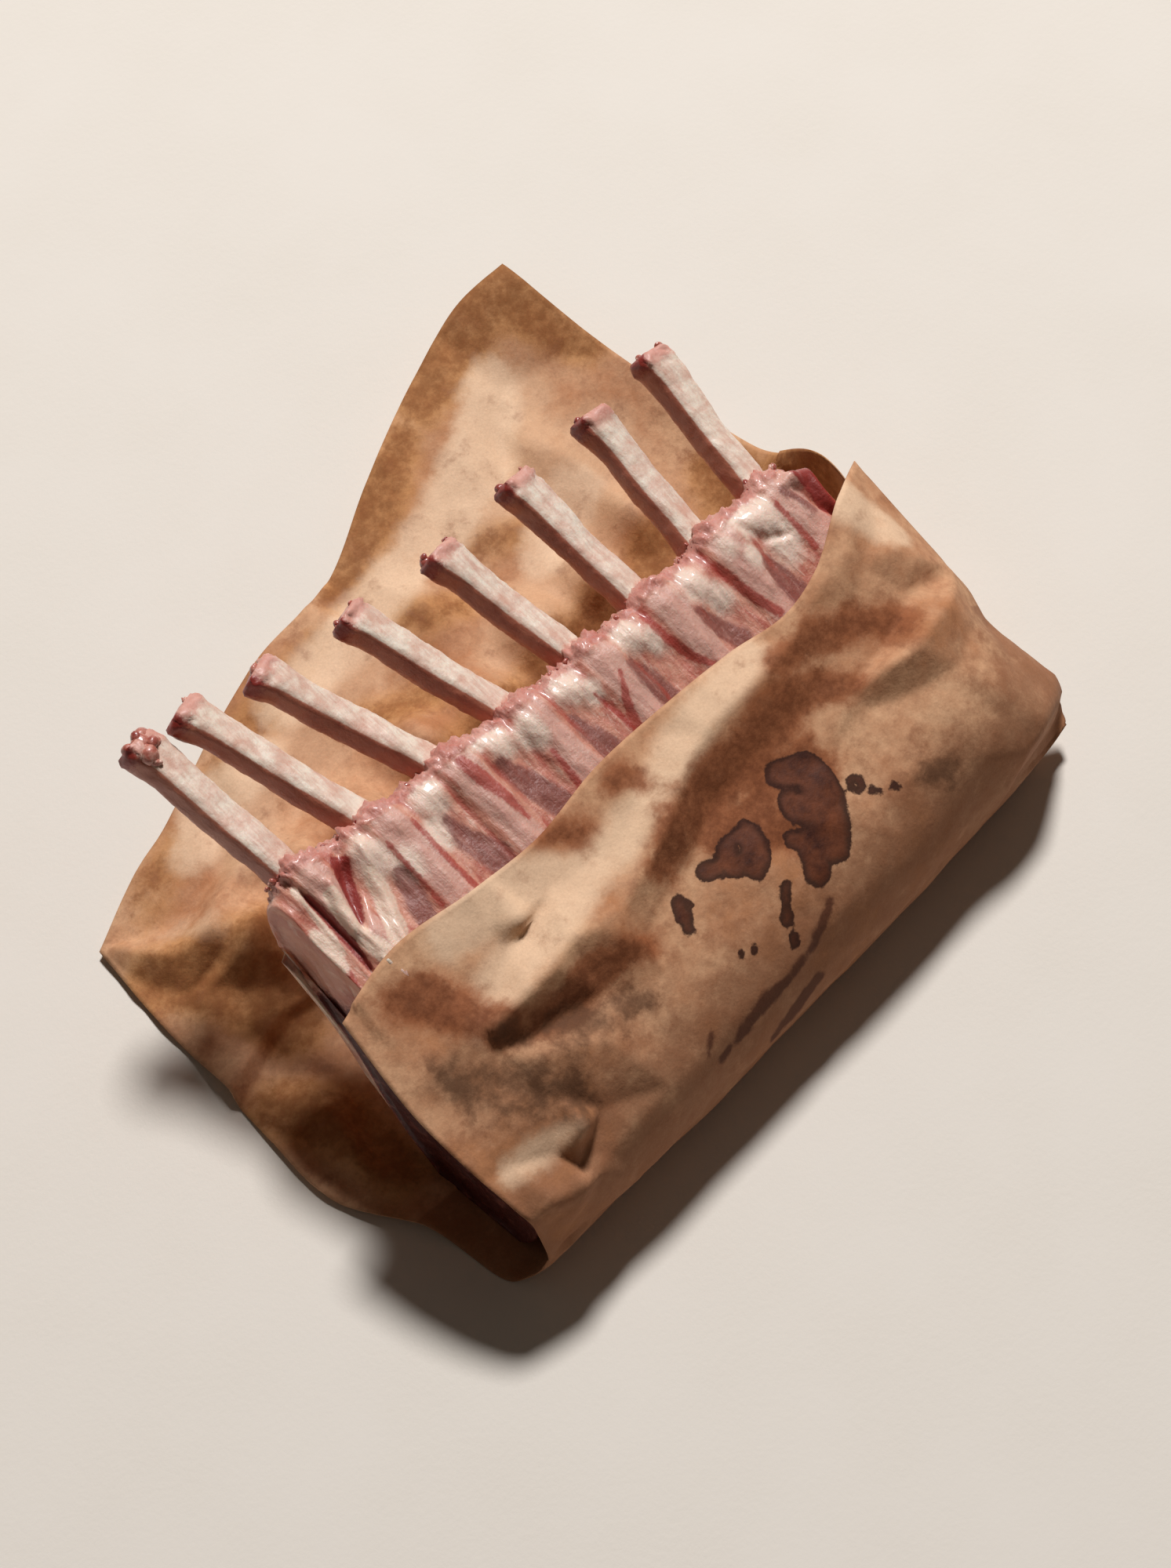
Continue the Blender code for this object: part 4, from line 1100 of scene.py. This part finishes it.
def makeBone(index, material):
    root, tip, along, side, lift, ahead = boneFrame(index)
    drop = math.radians(ribs["buriedDrop"])
    up = np.array((0, 0, 1.0))
    buried = root - ribs["buried"] * (ahead * math.cos(drop) + up * math.sin(drop))
    spine = smoothPath((buried, root, (root + tip) / 2 - up * 0.8, tip),
                       count=ribs["stations"])
    angles = 2 * np.pi * (np.arange(ribs["around"]) + 0.5) / ribs["around"]
    power = ribs["squareness"]
    across = np.sign(np.cos(angles)) * np.abs(np.cos(angles)) ** power
    above = np.sign(np.sin(angles)) * np.abs(np.sin(angles)) ** power
    length = np.concatenate(([0], np.cumsum(np.linalg.norm(np.diff(spine, axis=0), axis=1))))
    toTip = length[-1] - length
    tangent = np.gradient(spine, axis=0)
    tangent /= np.linalg.norm(tangent, axis=1, keepdims=True)
    sideFilm = np.maximum(smoothStep(-across, 0.78, 0.97), smoothStep(-above, 0.3, 0.8))
    sideFilm = np.maximum(sideFilm, 0.8 * smoothStep(across, 0.9, 1.0))
    rings, film, tipFlesh, tipRed, rootFlesh, axis = [], [], [], [], [], []
    for k, middle in enumerate(spine):
        outside = np.cross(side, tangent[k])
        flare = 1 - 0.05 * math.sin(math.pi * k / (len(spine) - 1))
        tipSwell = 0.2 * float(smoothStep(-toTip[k], -14, -1))
        blunt = 1.0 - 0.14 * float(smoothStep(-toTip[k], -1.4, 0.0))
        wide = ribs["width"] / 2 * (flare + tipSwell) * blunt
        tall = ribs["thickness"] / 2 * (flare + 0.4 * tipSwell) * blunt
        skew = -0.9 * float(smoothStep(-toTip[k], -10, 0))
        ring = (middle + np.outer(across * wide + skew, side)
                + np.outer(above * tall, outside))
        rings.append(ring)
        axis.append(middle)
        nearTip = float(smoothStep(-toTip[k], -9.0, -0.5))
        film.append(sideFilm)
        tipFlesh.append(nearTip * np.clip(0.6 + 0.4 * above, 0, 1) * np.ones(len(angles)))
        tipRed.append(float(smoothStep(-toTip[k], -11.0, 0.5))
                      * np.maximum(smoothStep(-across, 0.5, 1.0), smoothStep(-above, 0.2, 1)))
        fromRoot = length[k] - ribs["buried"]
        rootFlesh.append(float(1 - smoothStep(fromRoot, -2.0, 10.0)) * np.ones(len(angles)))
    for shrink in (0.8, 0.55, 0.28):
        rings.append(tip + (rings[ribs["stations"] - 1] - tip) * shrink
                     + tangent[-1] * (0.6 * (1 - shrink)))
        axis.append(tip)
        film.append(sideFilm * 0)
        tipFlesh.append(np.full(len(angles), 0.8))
        tipRed.append(tipRed[ribs["stations"] - 1] * 0.7)
        rootFlesh.append(np.zeros(len(angles)))
    grid = np.array(rings)
    rows, around = grid.shape[:2]
    points = grid.reshape(-1, 3)
    outward = points - np.repeat(np.array(axis), around, axis=0)
    outward /= np.maximum(np.linalg.norm(outward, axis=1, keepdims=True), 1e-6)
    tips = np.concatenate(tipFlesh)
    wave = roughness3d(points * np.array((1, 0.3, 1)), 8.0, 31 + index, 2) * 0.65
    wave += roughness3d(points, 2.6, 51 + index, 3) * (0.2 + 1.1 * tips)
    points = points + outward * wave[:, None]
    faces = [(r * around + c, r * around + (c + 1) % around,
              (r + 1) * around + (c + 1) % around, (r + 1) * around + c)
             for r in range(rows - 1) for c in range(around)]
    faces.append(tuple(range(around)))
    faces.append(tuple((rows - 1) * around + c for c in range(around)))
    bone = meshPiece("ribBone%d" % (index + 1), toRow(points), faces, material,
                     {"film": np.concatenate(film), "tipFlesh": tips,
                      "tipRed": np.concatenate(tipRed),
                      "rootFlesh": np.concatenate(rootFlesh)})
    fixNormals(bone)
    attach(bone, "root")
    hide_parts("rib_bone_%d" % (index + 1))
    return bone


def makeBones():
    material = boneMaterial()
    bones = [makeBone(index, material) for index in range(ribCount)]
    print("ribs: %d" % len(bones))
    return bones


# scraps of meat and sinew left by the knife

scraps = {
    # lumps at each rib: mm back from the tip, across, out of the scraped face, size, and
    # tone from dark red (0) to pale pink (1)
    "tips": (
        ((1, -4.4, 0.8, 2.8, 0.45), (2, -2.2, 3, 3.2, 0.5), (5.5, -3, 3.4, 2.8, 0.55),
         (0.5, 1.2, 2, 2.8, 0.45), (4, 1.2, 3.4, 2.2, 0.5), (8.5, -3.4, 3, 1.8, 0.5),
         (5, 4, 2.4, 1.0, 0.2)),
        ((1, -4.8, 0.8, 1.1, 0.6), (4, -4.9, -1, 1.0, 0.5), (0, 0.9, 3.2, 1.1, 0.6),
         (3, 2.6, 3.6, 0.8, 0.6)),
        ((1, -5, 0, 1.4, 0.25), (3, -5, -1.4, 1.4, 0.2), (0, -2.6, 2.4, 1.3, 0.5), (3, -1.7, 4, 0.9, 0.5),
         (0, 2.6, 1.7, 1.0, 0.6)),
        ((0, -5, 0, 1.2, 0.2), (2, -4.6, -1.4, 1.4, 0.25), (0, -4.2, -1, 1.1, 0.3),
         (0, 1.7, 3.2, 0.8, 0.6)),
        ((0, -4.8, -0.8, 1.6, 0.15), (2, -4.6, -1.2, 1.4, 0.2), (0.2, -3, -1.4, 1.2, 0.2),
         (0, 4, 2.8, 0.8, 0.15), (4, -4.6, 2.2, 0.8, 0.3)),
        ((0, -4.8, -0.8, 1.5, 0.15), (3, -4.6, -1.2, 1.4, 0.2), (5, -3.2, 3.6, 0.7, 0.95),
         (0, 2.4, 3.2, 0.8, 0.6)),
        ((0, -4.8, 0, 1.2, 0.2), (2, -4.6, -1.2, 1.4, 0.25), (1, 1.7, 3.8, 0.8, 0.5)),
        ((0, -4.8, 0.8, 1.2, 0.35), (3, -5, -1.4, 1.4, 0.25), (9, 4.4, 1.4, 1.3, 0.25),
         (0, 1.7, 3.6, 1.0, 0.55), (6, -4.4, -1, 1.0, 0.3)),
    ),
    "rootCount": 16, "ledgeCount": 260, "ledgeSize": 0.85, "seed": 4,
}


def scrapMaterial():
    # Ragged wet shreds of lamb: red muscle to pale sinew, glossy
    material, tree, shader = newMaterial("lambShreds")
    where = addNode(tree, "ShaderNodeTexCoord").outputs["Object"]
    tone = addNode(tree, "ShaderNodeAttribute", attribute_name="tone")
    fine = addNode(tree, "ShaderNodeTexNoise", {"Vector": where, "Scale": perMm(1.8),
                                                "Detail": 4.0, "Roughness": 0.65})
    shifted = addNode(tree, "ShaderNodeMath", {0: fine.outputs["Fac"], 1: 0.5},
                      operation="SUBTRACT")
    mixed = addNode(tree, "ShaderNodeMath", {0: shifted.outputs[0], 1: 1.3,
                                             2: tone.outputs["Fac"]},
                    operation="MULTIPLY_ADD", use_clamp=True)
    ramp = addNode(tree, "ShaderNodeValToRGB", {"Fac": mixed.outputs[0]})
    ramp.color_ramp.elements[0].color = srgb("#86231d")
    ramp.color_ramp.elements[1].color = srgb("#e9c3b2")
    middle = ramp.color_ramp.elements.new(0.5)
    middle.color = srgb("#bb6f5f")
    bump = addNode(tree, "ShaderNodeBump", {"Height": fine.outputs["Fac"], "Strength": 0.6,
                                            "Distance": 0.5 * mm})
    tree.links.new(ramp.outputs["Color"], shader.inputs["Base Color"])
    tree.links.new(bump.outputs["Normal"], shader.inputs["Normal"])
    shader.inputs["Roughness"].default_value = 0.38
    shader.inputs["Subsurface Weight"].default_value = 0.3
    shader.inputs["Subsurface Radius"].default_value = (1.0, 0.4, 0.3)
    shader.inputs["Subsurface Scale"].default_value = 1.0 * mm
    shader.inputs["Coat Weight"].default_value = 0.5
    shader.inputs["Coat Roughness"].default_value = 0.15
    return material


def scrapTree(material):
    # a lump on every point, turned at random, sized by the point and roughened by noise
    tree = bpy.data.node_groups.new("raggedScraps", "GeometryNodeTree")
    for name, kind, way in (("Points", "NodeSocketGeometry", "INPUT"),
                            ("Lump detail", "NodeSocketInt", "INPUT"),
                            ("Ragged height", "NodeSocketFloat", "INPUT"),
                            ("Ragged size", "NodeSocketFloat", "INPUT"),
                            ("Seed", "NodeSocketInt", "INPUT"),
                            ("Scraps", "NodeSocketGeometry", "OUTPUT")):
        tree.interface.new_socket(name, in_out=way, socket_type=kind)
    given = addNode(tree, "NodeGroupInput")
    size = addNode(tree, "GeometryNodeInputNamedAttribute", {"Name": "size"},
                   data_type="FLOAT")
    lump = addNode(tree, "GeometryNodeMeshIcoSphere",
                   {"Radius": 1.0, "Subdivisions": given.outputs["Lump detail"]})
    turn = addNode(tree, "FunctionNodeRandomValue",
                   {0: (0, 0, 0), 1: (6.28, 6.28, 6.28), "Seed": given.outputs["Seed"]},
                   data_type="FLOAT_VECTOR")
    stretch = addNode(tree, "FunctionNodeRandomValue",
                      {0: (0.55, 0.7, 0.6), 1: (1.3, 1.5, 1.2),
                       "Seed": given.outputs["Seed"]}, data_type="FLOAT_VECTOR")
    scale = addNode(tree, "ShaderNodeVectorMath", {0: stretch.outputs[0],
                                                   "Scale": size.outputs[0]},
                    operation="SCALE")
    points = addNode(tree, "GeometryNodeMeshToPoints", {"Mesh": given.outputs["Points"]})
    placed = addNode(tree, "GeometryNodeInstanceOnPoints",
                     {"Points": points.outputs[0], "Instance": lump.outputs[0],
                      "Rotation": turn.outputs[0], "Scale": scale.outputs[0]})
    real = addNode(tree, "GeometryNodeRealizeInstances", {"Geometry": placed.outputs[0]})
    rough = addNode(tree, "ShaderNodeTexNoise", {"Scale": given.outputs["Ragged size"],
                                                 "Detail": 3.0}, noise_dimensions="3D")
    centred = addNode(tree, "ShaderNodeVectorMath", {0: rough.outputs["Color"],
                                                     1: (0.5, 0.5, 0.5)},
                      operation="SUBTRACT")
    pushed = addNode(tree, "ShaderNodeVectorMath", {0: centred.outputs[0],
                                                    "Scale": given.outputs["Ragged height"]},
                     operation="SCALE")
    ragged = addNode(tree, "GeometryNodeSetPosition", {"Geometry": real.outputs[0],
                                                       "Offset": pushed.outputs[0]})
    smooth = addNode(tree, "GeometryNodeSetShadeSmooth", {"Geometry": ragged.outputs[0]})
    painted = addNode(tree, "GeometryNodeSetMaterial", {"Geometry": smooth.outputs[0],
                                                        "Material": material})
    addNode(tree, "NodeGroupOutput", {0: painted.outputs[0]})
    return tree


def grownScraps(name, tree, spots, settings):
    # spots are (x, y, z, size, tone) in mm; the result is a plain mesh
    mesh = bpy.data.meshes.new(name + "Points")
    mesh.from_pydata([tuple(p) for p in toRow([s[:3] for s in spots])], [], [])
    for field, values in (("size", [s[3] * mm for s in spots]), ("tone", [s[4] for s in spots])):
        layer = mesh.attributes.new(field, "FLOAT", "POINT")
        layer.data.foreach_set("value", np.array(values, np.float32))
    seedPoints = bpy.data.objects.new(name + "Points", mesh)
    bpy.context.scene.collection.objects.link(seedPoints)
    grow = seedPoints.modifiers.new("scraps", "NODES")
    grow.node_group = tree
    for item in tree.interface.items_tree:
        if item.in_out == "INPUT" and item.name in settings:
            grow[item.identifier] = settings[item.name]
    bpy.context.view_layer.update()
    grown = seedPoints.evaluated_get(bpy.context.evaluated_depsgraph_get())
    result = bpy.data.meshes.new_from_object(grown)
    bpy.data.objects.remove(seedPoints)
    piece = bpy.data.objects.new(name, result)
    bpy.context.scene.collection.objects.link(piece)
    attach(piece, "root")
    print("%s: %d spots, %d faces" % (name, len(spots), len(result.polygons)))
    return piece


def makeScraps():
    rng = np.random.default_rng(scraps["seed"])
    tree = scrapTree(scrapMaterial())
    lumps, shreds = [], []
    for index in range(ribCount):
        root, tip, along, side, lift, ahead = boneFrame(index)
        for back, across, out, size, tone in scraps["tips"][index]:
            spot = tip - along * back + side * across + lift * out
            lumps.append((*spot, size, tone))
            for _ in range(2):
                near = spot + rng.normal(size=3) * size * 0.35
                shreds.append((*near, size * rng.uniform(0.4, 0.7),
                               np.clip(tone + rng.normal() * 0.2, 0, 1)))
        for _ in range(scraps["rootCount"]):
            place = rng.uniform(-1, 1)
            spot = (root + along * rng.uniform(-1.5, 2.5) + side * place * 6.5
                    + lift * (4.6 - 2.0 * abs(place) ** 3 + rng.uniform(-0.4, 0.4)))
            shreds.append((*spot, rng.uniform(0.5, 1.2), rng.uniform(0.1, 0.9)))
    for _ in range(scraps["ledgeCount"]):
        x = rng.uniform(rack["start"] + 6, rack["end"] - 2)
        edge = float(frenchY(x))
        part = rng.uniform(0, 1) ** 1.5
        spot = (x, edge - 1.5 + 1.8 * math.sin(part * 1.6), 76.5 - 9 * part)
        shreds.append((*spot, scraps["ledgeSize"] * rng.uniform(0.5, 1.5),
                       rng.uniform(0.0, 0.85)))
    grownScraps("tipTissue", tree, lumps, {"Lump detail": 4, "Ragged height": 1.0 * mm,
                                           "Ragged size": perMm(3.6), "Seed": 3})
    grownScraps("meatShreds", tree, shreds, {"Lump detail": 2, "Ragged height": 0.8 * mm,
                                             "Ragged size": perMm(1.4), "Seed": 8})


def makeAll():
    setCamera()
    setStudio()
    makeFloor()
    makePaper()
    makeMeat()
    makeFat()
    makeBones()
    makeScraps()


makeAll()
bpy.context.view_layer.update()
